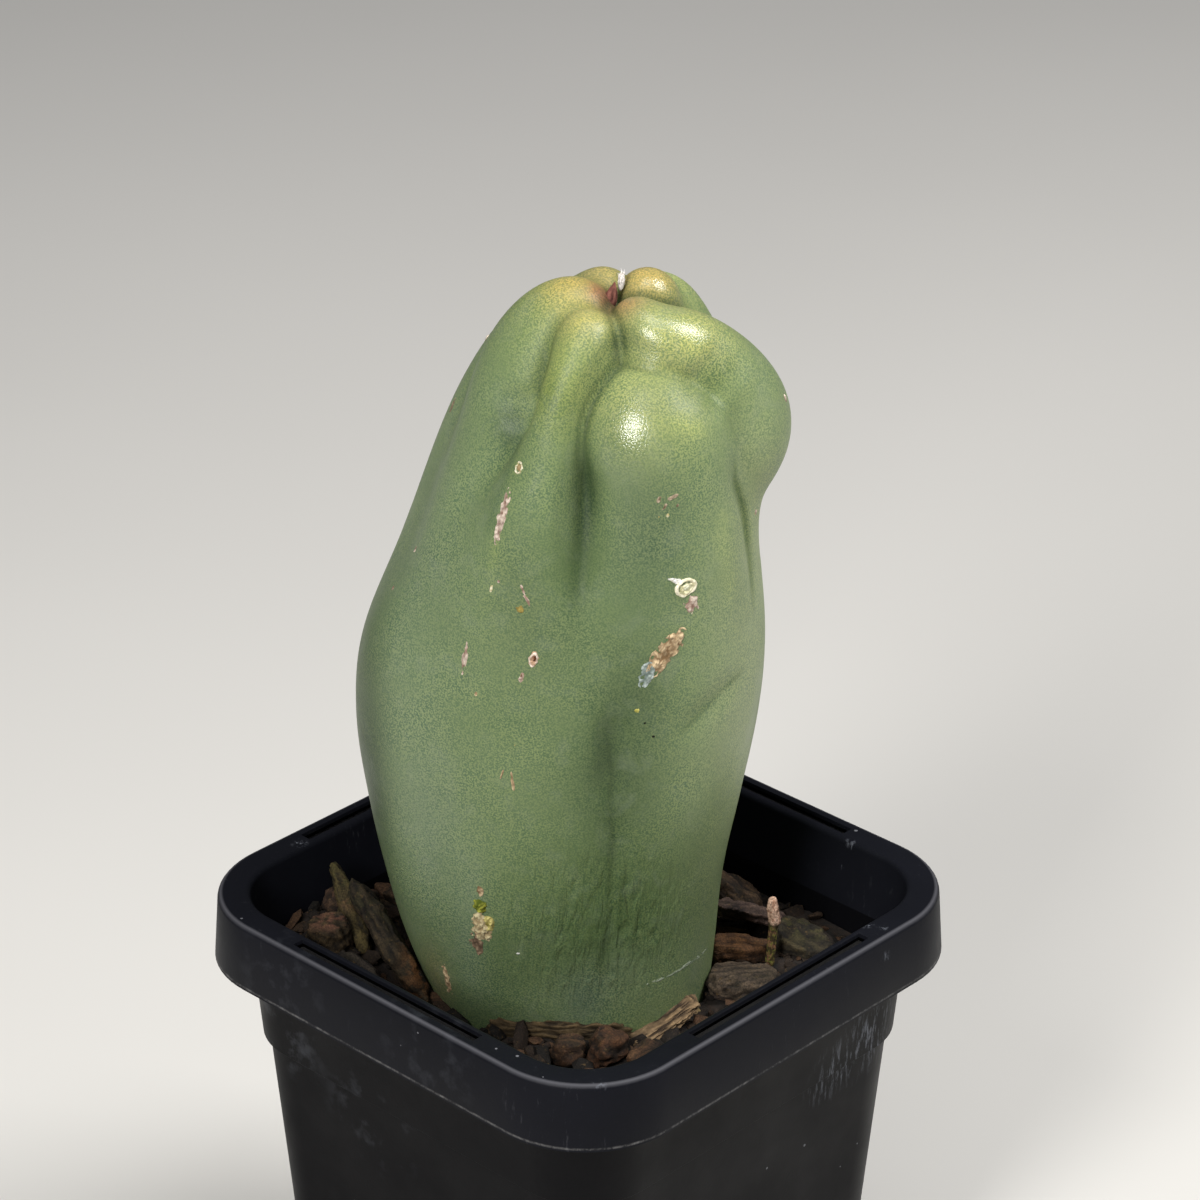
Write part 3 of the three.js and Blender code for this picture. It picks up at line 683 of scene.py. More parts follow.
# Scuffed places on the pot: middle and reach in millimetres, strength, and kind of mark
SCUFFS = [
    ((39.4, 25, 72), 9, 0.75, "scratches"),
    ((39.4, 17, 69.5), 7, 0.55, "scratches"),
    ((-26, -39.4, 73), 9, 0.2, "smears"),
    ((-36, -39.4, 77), 6, 0.28, "smears"),
    ((-8, -39.4, 66), 12, 0.14, "smears"),
    ((-20, -45.3, 88), 12, 0.08, "smears"),
    ((12, -45.3, 89), 14, 0.07, "smears"),
    ((45.3, 21.4, 91.8), 1.1, 1.0, "scratches"),
    ((40.2, 22.3, 95), 1.4, 1.0, "scratches"),
    ((42.9, 23.3, 95), 0.9, 1.0, "scratches"),
    ((22, 39.3, 95), 1.6, 0.9, "scratches"),
    ((-41.4, -21.5, 95), 1.6, 0.9, "scratches"),
    ((41.2, -38.7, 95), 1.3, 0.6, "scratches"),
    ((21.2, 39, 90.1), 1.2, 0.8, "scratches"),
]


def pot_material():
    """Black polypropylene, injection moulded and used: satin, with grey scuffs and splashes of lime from hard
    water. A painted highlight runs along the rim's rounded outer top edge, and another, broken by lime,
    along the skirt's lower edge; painted shade lies on the wall under the skirt and in the slots' mouths."""
    material, shader, place, add = new_material("moulded_black_polypropylene")
    cloud = add("TexNoise", {"Vector": place, "Scale": 1 / (18 * MM), "Detail": 5, "Roughness": 0.6})
    colour = add("Mix", (cloud, "#0d0e12", "#17181f"), **COLOURS)
    slanted = add("Mapping", {"Vector": place, "Rotation": (0.3, 0.5, 0.7), "Scale": (1, 1, 0.18)})
    scratches = add("TexNoise", {"Vector": slanted, "Scale": 1 / (0.9 * MM), "Detail": 6, "Roughness": 0.75})
    smears = add("TexNoise", {"Vector": place, "Scale": 1 / (5 * MM), "Detail": 7, "Roughness": 0.62})
    wear = add("MapRange", (cloud, 0.45, 0.7))
    scratched = add("MapRange", (scratches, 0.6, 0.75, 0, 0.35))
    worn = add("Math", (wear, scratched), operation="MULTIPLY")

    quarter = add("VectorMath", (place,), operation="ABSOLUTE")
    x, y, height = add("SeparateXYZ", (quarter,)).outputs
    inset = (RIM_WIDTH / 2 - RIM_CORNER) * MM
    past_corner = add("VectorMath", (quarter, (inset, inset, 1)), operation="SUBTRACT")
    kept = add("VectorMath", (past_corner, (0, 0, 0)), operation="MAXIMUM")
    from_corner = add("VectorMath", (kept,), operation="LENGTH")
    to_side = add("Math", (from_corner, (RIM_CORNER - 0.45) * MM), operation="SUBTRACT")
    beside = add("Math", (to_side,), operation="ABSOLUTE")
    # A painted highlight along the rim's rounded outer top edge
    fillet = add("MapRange", (beside, 0.42 * MM, 0.05 * MM, 0, 0.5))
    on_top = add("Math", (height, (POT_HEIGHT - 0.85) * MM), operation="GREATER_THAN")
    fillet_highlight = add("Math", (fillet, on_top), operation="MULTIPLY")

    # A lighter line along the skirt's lower edge, broken up by a noise: partly lime from hard water, partly a
    # painted highlight on the edge
    off_edge = add("Math", (height, (POT_HEIGHT - SKIRT_DEPTH + 0.5) * MM), operation="SUBTRACT")
    near_edge = add("Math", (off_edge,), operation="ABSOLUTE")
    edge_line = add("MapRange", (near_edge, 0.26 * MM, 0.04 * MM))
    lime_noise = add("TexNoise", {"Vector": place, "Scale": 1 / (1.6 * MM), "Detail": 6, "Roughness": 0.8})
    lime = add("MapRange", (lime_noise, 0.42, 0.66, 0.04, 0.55))
    edge_lime_and_highlight = add("Math", (edge_line, lime), operation="MULTIPLY")
    outside = add("Math", (to_side, -0.5 * MM), operation="GREATER_THAN")
    outer_lime_and_highlight = add("Math", (edge_lime_and_highlight, outside), operation="MULTIPLY")
    # Painted shade on the wall under the skirt
    under_skirt_shade = add("Math", (height, (POT_HEIGHT - SKIRT_DEPTH - 0.4) * MM), operation="LESS_THAN")

    cells = add("TexVoronoi", {"Vector": place, "Scale": 1 / (3.4 * MM)})
    speck_size = add("SeparateXYZ", (cells.outputs["Color"],))
    speck_reach = add("MapRange", (speck_size, 0.72, 1, 0, 0.085))
    specks = add("Math", (cells, speck_reach), operation="LESS_THAN")

    scuffs = []
    for spot, reach, strength, marks in SCUFFS:
        away = add("VectorMath", (place, tuple(c * MM for c in spot)), operation="DISTANCE")
        patch = add("MapRange", (away, reach * MM, reach * 0.3 * MM, 0, strength))
        streaks = add("MapRange", (smears if marks == "smears" else scratches, 0.52, 0.66))
        scuffs.append(add("Math", (patch, streaks), operation="MULTIPLY"))

    outward = add("Math", (x, y), operation="MAXIMUM")
    sideways = add("Math", (x, y), operation="MINIMUM")
    # Painted shade: the mouths of the slots under the rim are painted black, with no reflection
    off_slot = add("Math", (outward, SLOT_OFFSET * MM), operation="SUBTRACT")
    from_slot = add("Math", (off_slot,), operation="ABSOLUTE")
    in_width = add("Math", (from_slot, (SLOT_SIZE[1] / 2 + 0.15) * MM), operation="LESS_THAN")
    in_length = add("Math", (sideways, (SLOT_SIZE[0] / 2 + 0.15) * MM), operation="LESS_THAN")
    below_top = add("Math", (height, (POT_HEIGHT - 0.7) * MM), operation="LESS_THAN")
    slot_mouth = add("Math", (in_width, in_length), operation="MULTIPLY")
    slot_shade = add("Math", (slot_mouth, below_top), operation="MULTIPLY")

    # Over the plastic: wear, the painted highlight on the rim's top edge, lime with a painted highlight on
    # the skirt's lower edge, painted shade under the skirt, specks, scuffs, and painted shade in the slots
    layers = [
        (worn, "#74767c"), (fillet_highlight, "#66666c"), (outer_lime_and_highlight, "#8d8c8c"), (under_skirt_shade, "#08080b"),
        (specks, "#66676c"), *((scuff, "#7a7e88") for scuff in scuffs), (slot_shade, "#040404"),
    ]
    for share, over in layers:
        colour = add("Mix", (share, colour, over), **COLOURS)
    grain = add("TexNoise", {"Vector": place, "Scale": 1 / (0.5 * MM)})
    fill(shader, {
        "Base Color": colour,
        "Normal": add("Bump", {"Height": grain, "Strength": 0.12, "Distance": 0.08 * MM}),
        "Roughness": add("MapRange", (cloud, 0.3, 0.7, 0.4, 0.56)),
        "Specular IOR Level": add("MapRange", (slot_shade, 0, 1, 0.07, 0)),
        "IOR": 1.49,
    })
    return material


def wool_material():
    """Areole wool, fine plant hair in a tuft: it scatters light, so it is a soft white without gloss."""
    material, shader, place, add = new_material("areole_wool")
    strands = add("TexNoise", {"Vector": place, "Scale": 1 / (0.3 * MM), "Detail": 3})
    fill(shader, {
        "Base Color": add("Mix", (strands, "#d8cbc2", "#ffffff"), **COLOURS),
        "Roughness": 0.95,
        "Sheen Weight": 0.3,
    })
    return material


def floor_material():
    """Pale matt studio card, with the slightest unevenness in its tone."""
    material, shader, place, add = new_material("matt_studio_card")
    tone = add("TexNoise", {"Vector": place, "Scale": 6})
    fill(shader, {
        "Base Color": add("Mix", (tone, "#d6d4d0", "#dcdad6"), **COLOURS),
        "Roughness": 0.9,
    })
    return material


# Pot

def pick(kind, test):
    """In edit mode, selects the edges or faces that pass the test."""
    bpy.ops.mesh.select_mode(type=kind)
    bpy.ops.mesh.select_all(action="DESELECT")
    mesh = bmesh.from_edit_mesh(bpy.context.edit_object.data)
    for part in mesh.edges if kind == "EDGE" else mesh.faces:
        part.select_set(bool(test(part)))
    bmesh.update_edit_mesh(bpy.context.edit_object.data)


def is_upright(edge):
    a, b = (v.co for v in edge.verts)
    return (a.xy - b.xy).length < 1e-6


def is_top(face):
    return face.normal.z > 0.9 and face.calc_center_median().z > (POT_HEIGHT - SAME_HEIGHT) * MM


def is_rim_edge(edge):
    """Whether an edge runs along the outside of the rim's top, where the skirt turns down."""
    on_top = all(v.co.z > (POT_HEIGHT - SAME_HEIGHT) * MM for v in edge.verts)
    outward = min(max(abs(v.co.x), abs(v.co.y), v.co.xy.length - CORNER_EXCESS * MM) for v in edge.verts)
    outside = outward > (RIM_WIDTH / 2 - OUTER_BAND) * MM
    across = sum(1 for face in edge.link_faces if abs(face.normal.z) < 0.5) == 1
    return on_top and outside and across and edge.calc_length() > 0


def draw_out(rise, scale):
    """Extrudes the selected cap by a rise and scales it about the pot's middle, both as given."""
    bpy.ops.mesh.extrude_region_move(TRANSFORM_OT_translate={"value": (0, 0, rise * MM)})
    bpy.ops.transform.resize(value=(scale, scale, 1), center_override=(0, 0, 0))


def wall_half(depth):
    return WALL_TOP_HALF - TAPER * depth - (WALL_STEP if depth > WALL_STEP_DEPTH else 0)


def draw_wall(depths, inset):
    """Draws the selected cap down the wall through the given depths under the rim."""
    for above, below in zip(depths[:-1], depths[1:]):
        draw_out(above - below, (wall_half(below) - inset) / (wall_half(above) - inset))


def nursery_pot():
    pot = primitive(
        "nursery_pot", bpy.ops.mesh.primitive_cube_add, size=1,
        location=(0, 0, (POT_HEIGHT - SKIRT_DEPTH / 2) * MM),
        scale=(RIM_WIDTH * MM, RIM_WIDTH * MM, SKIRT_DEPTH * MM))
    rim_half = RIM_WIDTH / 2
    bpy.ops.object.mode_set(mode="EDIT")
    pick("EDGE", is_upright)
    bpy.ops.mesh.bevel(offset=RIM_CORNER * MM, segments=16, affect="EDGES")
    pick("FACE", lambda face: face.normal.z < -0.9)
    flare = (rim_half + SKIRT_FLARE) / rim_half
    bpy.ops.transform.resize(value=(flare, flare, 1), center_override=(0, 0, 0))
    bpy.ops.mesh.inset(thickness=SKIRT_WALL * MM, use_even_offset=True)
    draw_out(SKIRT_DEPTH - RIM_PLATE, 1 / flare)
    bpy.ops.mesh.inset(thickness=(rim_half - SKIRT_WALL - wall_half(RIM_PLATE)) * MM, use_even_offset=True)
    draw_wall([RIM_PLATE, WALL_STEP_DEPTH - 0.1, WALL_STEP_DEPTH + 0.7, 60, POT_HEIGHT - 1], 0)
    draw_out(-1, (wall_half(POT_HEIGHT) - FOOT_CHAMFER) / wall_half(POT_HEIGHT))
    bpy.ops.mesh.inset(thickness=(FOOT_INSET - FOOT_CHAMFER) * MM, use_even_offset=True)
    draw_out(FOOT_HEIGHT, 0.97)
    pick("FACE", is_top)
    bpy.ops.mesh.inset(thickness=(rim_half - wall_half(0) + WALL) * MM, use_even_offset=True)
    draw_wall([0, WALL_STEP_DEPTH - 1, WALL_STEP_DEPTH + 0.6, POT_HEIGHT - FLOOR_TOP], WALL)
    pick("EDGE", is_rim_edge)
    bpy.ops.mesh.bevel(offset=RIM_ROUND * MM, segments=4, affect="EDGES", clamp_overlap=True)
    bpy.ops.object.mode_set(mode="OBJECT")
    for cutter in pot_cutters():
        modify(pot, "BOOLEAN", {"operation": "DIFFERENCE", "solver": "EXACT", "object": cutter})
        bpy.data.objects.remove(cutter)
    modify(pot, "BEVEL", {
        "width": EDGE_ROUND * MM, "segments": 2, "limit_method": "ANGLE",
        "angle_limit": math.radians(EDGE_ANGLE), "use_clamp_overlap": True})
    finish_piece(pot, pot_material(), ["pot"], SMOOTH_ANGLE)


def pot_cutters():
    """The slots under the rim's top and the drain holes, as solids to cut away."""
    cutters = []
    for side in range(4):
        turn = side * math.pi / 2
        cutters.append(primitive(
            f"slot_cutter_{side}", bpy.ops.mesh.primitive_cube_add, size=1,
            location=(SLOT_OFFSET * math.sin(turn) * MM, -SLOT_OFFSET * math.cos(turn) * MM, POT_HEIGHT * MM),
            rotation=(0, 0, turn), scale=(SLOT_SIZE[0] * MM, SLOT_SIZE[1] * MM, RIM_PLATE * 4 * MM)))
    for x in (-1, 0, 1):
        for y in (-1, 0, 1):
            cutters.append(primitive(
                "drain_cutter", bpy.ops.mesh.primitive_cylinder_add,
                vertices=24, radius=DRAIN_RADIUS * MM, depth=12 * MM,
                location=(x * DRAIN_OFFSET * MM, y * DRAIN_OFFSET * MM, FOOT_HEIGHT * MM)))
    return cutters


# Stem

def stem_rows():
    """Height and tilt of each ring of rays: fanned at the foot, level up the side, fanned over the top."""
    rows = [(FAN_LOW, (i / 4 - 1) * math.pi / 2) for i in range(1, 4)]
    rows += [(z, 0) for z in np.linspace(FAN_LOW, -20, 6)[:-1]]
    rows += [(z, 0) for z in np.linspace(-20, FAN_HIGH, 165)]
    rows += [(FAN_HIGH, i / 89 * math.pi / 2) for i in range(1, 89)]
    return rows


def skin_tones(points, crease_shade):
    """The skin's colour at each point, from the named tones and lines by place, among them painted shade and
    painted light, with painted shade in the creases. The fourth value is its shine."""
    colours = np.tile(linear(SKIN_BASE), (len(points), 1))
    for middle, reach, colour, strength in SKIN_TONES:
        away = (((points - middle) / reach) ** 2).sum(axis=1)
        colours = mixed(colours, colour, strength * np.exp(-away))
    for path, width, colour, strength in SKIN_LINES:
        nearest, along = path_distance(points, path)
        near = np.exp(-((nearest / width) ** 2))
        colours = mixed(colours, colour, strength * ends_faded(along, 0.2) * near)
    # Painted shade in the creases
    colours = mixed(colours, CREASE_SHADE_COLOUR, crease_shade)
    shine = np.full(len(points), BASE_SHINE)
    for middle, reach, strength in SHINE:
        away = (((points - middle) / reach) ** 2).sum(axis=1)
        shine += (strength - shine) * np.exp(-away ** 2)
    colours[:, 3] = shine * (1 - np.clip(crease_shade * 3, 0, 0.95))
    return colours


def beside_mean(grid):
    """Each value's mean with its four neighbours on the rings of rays."""
    tall = np.pad(grid, ((1, 1), (0, 0)), mode="edge")
    return (tall[:-2] + tall[2:] + grid + np.roll(grid, 1, axis=1) + np.roll(grid, -1, axis=1)) / 5


def eased(reach, ring, around, segments, rings):
    """Evens out the reach where it jumps from one ray to the next, as under an overhang."""
    column = np.rint(around / (2 * math.pi) * segments).astype(int) % segments
    inner = (ring >= 0) & (ring < rings)
    grid = np.zeros((rings, segments))
    grid[ring[inner], column[inner]] = reach[inner]
    jump = np.abs(grid - np.roll(grid, 1, axis=1)) * segments / (2 * math.pi * USUAL_REACH)
    steep = np.maximum(jump, np.roll(jump, -1, axis=1))
    steep = np.pad(steep, ((1, 1), (0, 0)), mode="edge")
    steep = np.maximum.reduce([steep[:-2], steep[1:-1], steep[2:]])
    steep = np.maximum.reduce([steep, np.roll(steep, 1, axis=1), np.roll(steep, -1, axis=1)])
    share = smooth_step(*JUMP_SLOPES, steep)
    for _ in range(SPREAD_ROUNDS):
        share = beside_mean(share)
    share = np.clip(share * 1.6, 0, 1)
    even = grid
    for _ in range(EASE_ROUNDS):
        even = beside_mean(even)
    grid += (even - grid) * share
    result = reach.copy()
    result[inner] = grid[ring[inner], column[inner]]
    return result


def cactus_stem():
    rows = stem_rows()
    segments = STEM_SEGMENTS
    stem = primitive(
        "senita_stem", bpy.ops.mesh.primitive_uv_sphere_add,
        segments=segments, ring_count=len(rows) + 1, radius=1)
    ball = mesh_points(stem)
    around = np.arctan2(ball[:, 1], ball[:, 0])
    level = np.arcsin(np.clip(ball[:, 2], -1, 1)) / math.pi + 0.5
    ring = np.rint(level * (len(rows) + 1)).astype(int) - 1
    ends = [(FAN_LOW, -math.pi / 2)] + rows + [(FAN_HIGH, math.pi / 2)]
    z, tilt = np.array(ends)[ring + 1].T
    middle_x = AXIS_LOW + (AXIS_HIGH - AXIS_LOW) * smooth_step(20, FAN_HIGH, z)
    start = np.stack([middle_x, np.zeros_like(z), z], axis=1).astype(np.float32)
    way = np.stack([np.cos(around) * np.cos(tilt), np.sin(around) * np.cos(tilt), np.sin(tilt)], axis=1)
    way = way.astype(np.float32)
    reach = np.full(len(z), RAY_LENGTH, np.float32)
    moving = np.arange(len(z))
    for _ in range(RAY_ROUNDS):
        distance = stem_distance(start[moving] + way[moving] * reach[moving, None])
        reach[moving] -= RAY_STEP * distance
        moving = moving[np.abs(distance) > RAY_NEAR]
        if len(moving) == 0:
            break
    points = start + way * eased(reach, ring, around, segments, len(rows))[:, None]
    normals = skin_normals(points)
    # How enclosed the skin is at each point: this paints shade into the creases and dulls their gloss
    near = 1 - stem_distance(points + normals * CREASE_NEAR) / CREASE_NEAR
    far = 1 - stem_distance(points + normals * CREASE_FAR) / CREASE_FAR
    crease_shade = np.clip(near * 1.3, 0, 0.85) * 0.7 + np.clip(far, 0, 1) * 0.22
    finish_on_skin(stem, points, skin_tones(points, crease_shade), cactus_skin(), ["cactus_stem"])


# Marks on the skin: dried patches that rise a little out of it

def along_path(path, share):
    """Places and directions on a line of points, for shares of its length from 0 to 1."""
    path = np.array(path, float)
    pieces = np.linalg.norm(np.diff(path, axis=0), axis=1)
    marks = np.concatenate([[0], np.cumsum(pieces)]) / pieces.sum()

    def at(share):
        return np.stack([np.interp(share, marks, path[:, axis]) for axis in range(3)], axis=1)

    near = np.clip(share, 0.02, 0.98)
    return at(share), unit(at(near + 0.02) - at(near - 0.02))


def torn(around, reach, depth, *kind):
    """How far a closed outline is torn in or out at each angle round it, by a noise."""
    return np.array([
        noise.fractal(Vector((math.cos(a) * reach, math.sin(a) * reach, depth)), *kind) for a in around])


def soft_noise(points, scale):
    """A noise at each point, for patches of another colour."""
    return np.array([noise.fractal(Vector(p) * scale, 0.8, 2.0, 3) for p in points])


def straight(middle, along, length):
    """The two ends of a straight line through a place on the skin."""
    centre, normal = onto_skin([middle])
    along = np.array(along, float)
    along = along - normal[0] * (along @ normal[0])
    along *= length / 2 / np.linalg.norm(along)
    return [centre[0] - along, centre[0] + along]


def crust(places, seed, cell):
    """How rough and how cracked dried cork is at each place: a smooth unevenness, and 0 in cracks."""
    rough = np.empty(len(places))
    whole = np.empty(len(places))
    for i, place in enumerate(places):
        here = Vector(place) + Vector((seed * 7.3, seed * 3.1, 0))
        rough[i] = noise.fractal(here * 1.1, 0.9, 2.0, 4)
        near = noise.voronoi(here / cell)[0]
        whole[i] = near[1] - near[0]
    return rough, smooth_step(0.02, 0.3, whole)


def scab(name, path, width, rise, tones, seed, material, fineness=4, ragged=0.5):
    """A flake of wound cork that follows a line on the skin, given in the stem's frame. Tones are the
    colours of its pits and peaks; its ragged edge dips under the skin."""
    flake = primitive(name, bpy.ops.mesh.primitive_ico_sphere_add, subdivisions=fineness, radius=1)
    ball = mesh_points(flake)
    places, ways = along_path(path, (ball[:, 0] + 1) / 2)
    across = unit(np.cross(skin_normals(places), ways))
    from_middle = np.hypot(ball[:, 0], ball[:, 1])
    edge = torn(np.arctan2(ball[:, 1], ball[:, 0]), 1.6, seed * 4.7, 0.7, 2.2, 4)
    squared = (1 - np.abs(ball[:, 0]) ** 3.4) / np.maximum(1 - ball[:, 0] ** 2, 0.03)
    outline = np.sqrt(np.clip(squared, 0, 3)) * (1 + edge * 0.45 * from_middle)
    base, normals = onto_skin(places + (ball[:, 1] * outline)[:, None] * across * width / 2)
    rough, whole = crust(base, seed, 0.75)
    top = rise * (1.15 - from_middle ** 2 * 1.5) + min(rise, 0.3) * rough * (0.9 + ragged * from_middle * 2)
    top *= 0.45 + 0.55 * whole
    height = np.where(ball[:, 2] > 0, np.maximum(top, -0.2), -0.35)
    height = np.where(np.abs(ball[:, 2]) < 0.02, -0.3, height)
    colours = mixed(tones[0], tones[1], (0.5 + rough * 1.3) * (0.35 + 0.65 * whole))
    finish_on_skin(flake, base + normals * height[:, None], colours, material)


def skin_ring(name, middle, along, size, thickness, rise, tones, seed, material):
    """A raised oval rim on the skin: the edge of an old areole or of a pit."""
    ring = primitive(
        name, bpy.ops.mesh.primitive_torus_add,
        major_radius=1, minor_radius=thickness, major_segments=56, minor_segments=12)
    hoop = mesh_points(ring)
    reach = 1 + thickness
    places, ways = along_path(straight(middle, along, size[0] * reach), (hoop[:, 0] / reach + 1) / 2)
    across = unit(np.cross(skin_normals(places), ways))
    bent = torn(np.arctan2(hoop[:, 1], hoop[:, 0]), 1, seed * 5.1, 0.9, 2.0, 3)
    base, normals = onto_skin(places + hoop[:, 1:2] * (1 + bent[:, None] * 0.5) * across * size[1] / 2)
    rough, _ = crust(base * 1.6, seed, 0.5)
    height = hoop[:, 2] / thickness * rise * (1 + bent * 0.8)
    colours = mixed(tones[0], tones[1], 0.7 + rough)
    finish_on_skin(ring, base + normals * height[:, None], colours, material)


def cork_ridge(name, path, depth, tall, lumps, tones, seed, material):
    """A crusty ledge of cork round the stem's foot: it follows a line beside the skin, reaches in to it
    by its depth, and is layered along its length. A third tone is the moss at its end."""
    ridge = primitive(name, bpy.ops.mesh.primitive_ico_sphere_add, subdivisions=6, radius=1)
    ball = mesh_points(ridge)
    share = np.arcsin(np.clip(ball[:, 0], -1, 1)) / math.pi + 0.5
    places, _ = along_path(path, share)
    outward = unit(places * (1, 1, 0))
    girth = np.sqrt(np.clip(1 - ball[:, 0] ** 2, 0, 1)) + 1e-6
    thick = np.minimum(girth * 2.2, 1)
    sideways = ball[:, 1] / girth * thick
    upward = ball[:, 2] / girth * thick
    layers = places * 0.32 + outward * sideways[:, None] * 1.5
    layers[:, 2] += upward * 5
    rough, whole = crust(layers, seed, 2.2)
    end_lumps = smooth_step(0.6, 0.8, share) * lumps
    swell = 1 + rough * (lumps + end_lumps) - (1 - whole) * 0.1
    points = places + outward * ((sideways * swell - 0.6) * depth / 2)[:, None]
    points[:, 2] += upward * swell * tall / 2
    shares = 0.5 + rough * 1.1 + 0.2 * np.sin(upward * 9 + rough * 4)
    colours = mixed(tones[0], tones[1], shares * (0.5 + 0.5 * whole))
    if len(tones) > 2:
        mossy = smooth_step(0.78, 0.9, share) * smooth_step(0.1, -0.4, upward) * smooth_step(-0.2, 0.2, rough)
        colours = mixed(colours, tones[2], mossy)
    finish_on_skin(ridge, points, colours, material)


TAN = ("#7c6244", "#dcc49e")
PINK = ("#86695a", "#e4d4c4")
GREY = ("#6f7c76", "#b4bfba")
CREAM = ("#a89a62", "#f0ead0")
MOSS = ("#4f5c18", "#a8a842")
BROWN = ("#6a5844", "#b8a890")

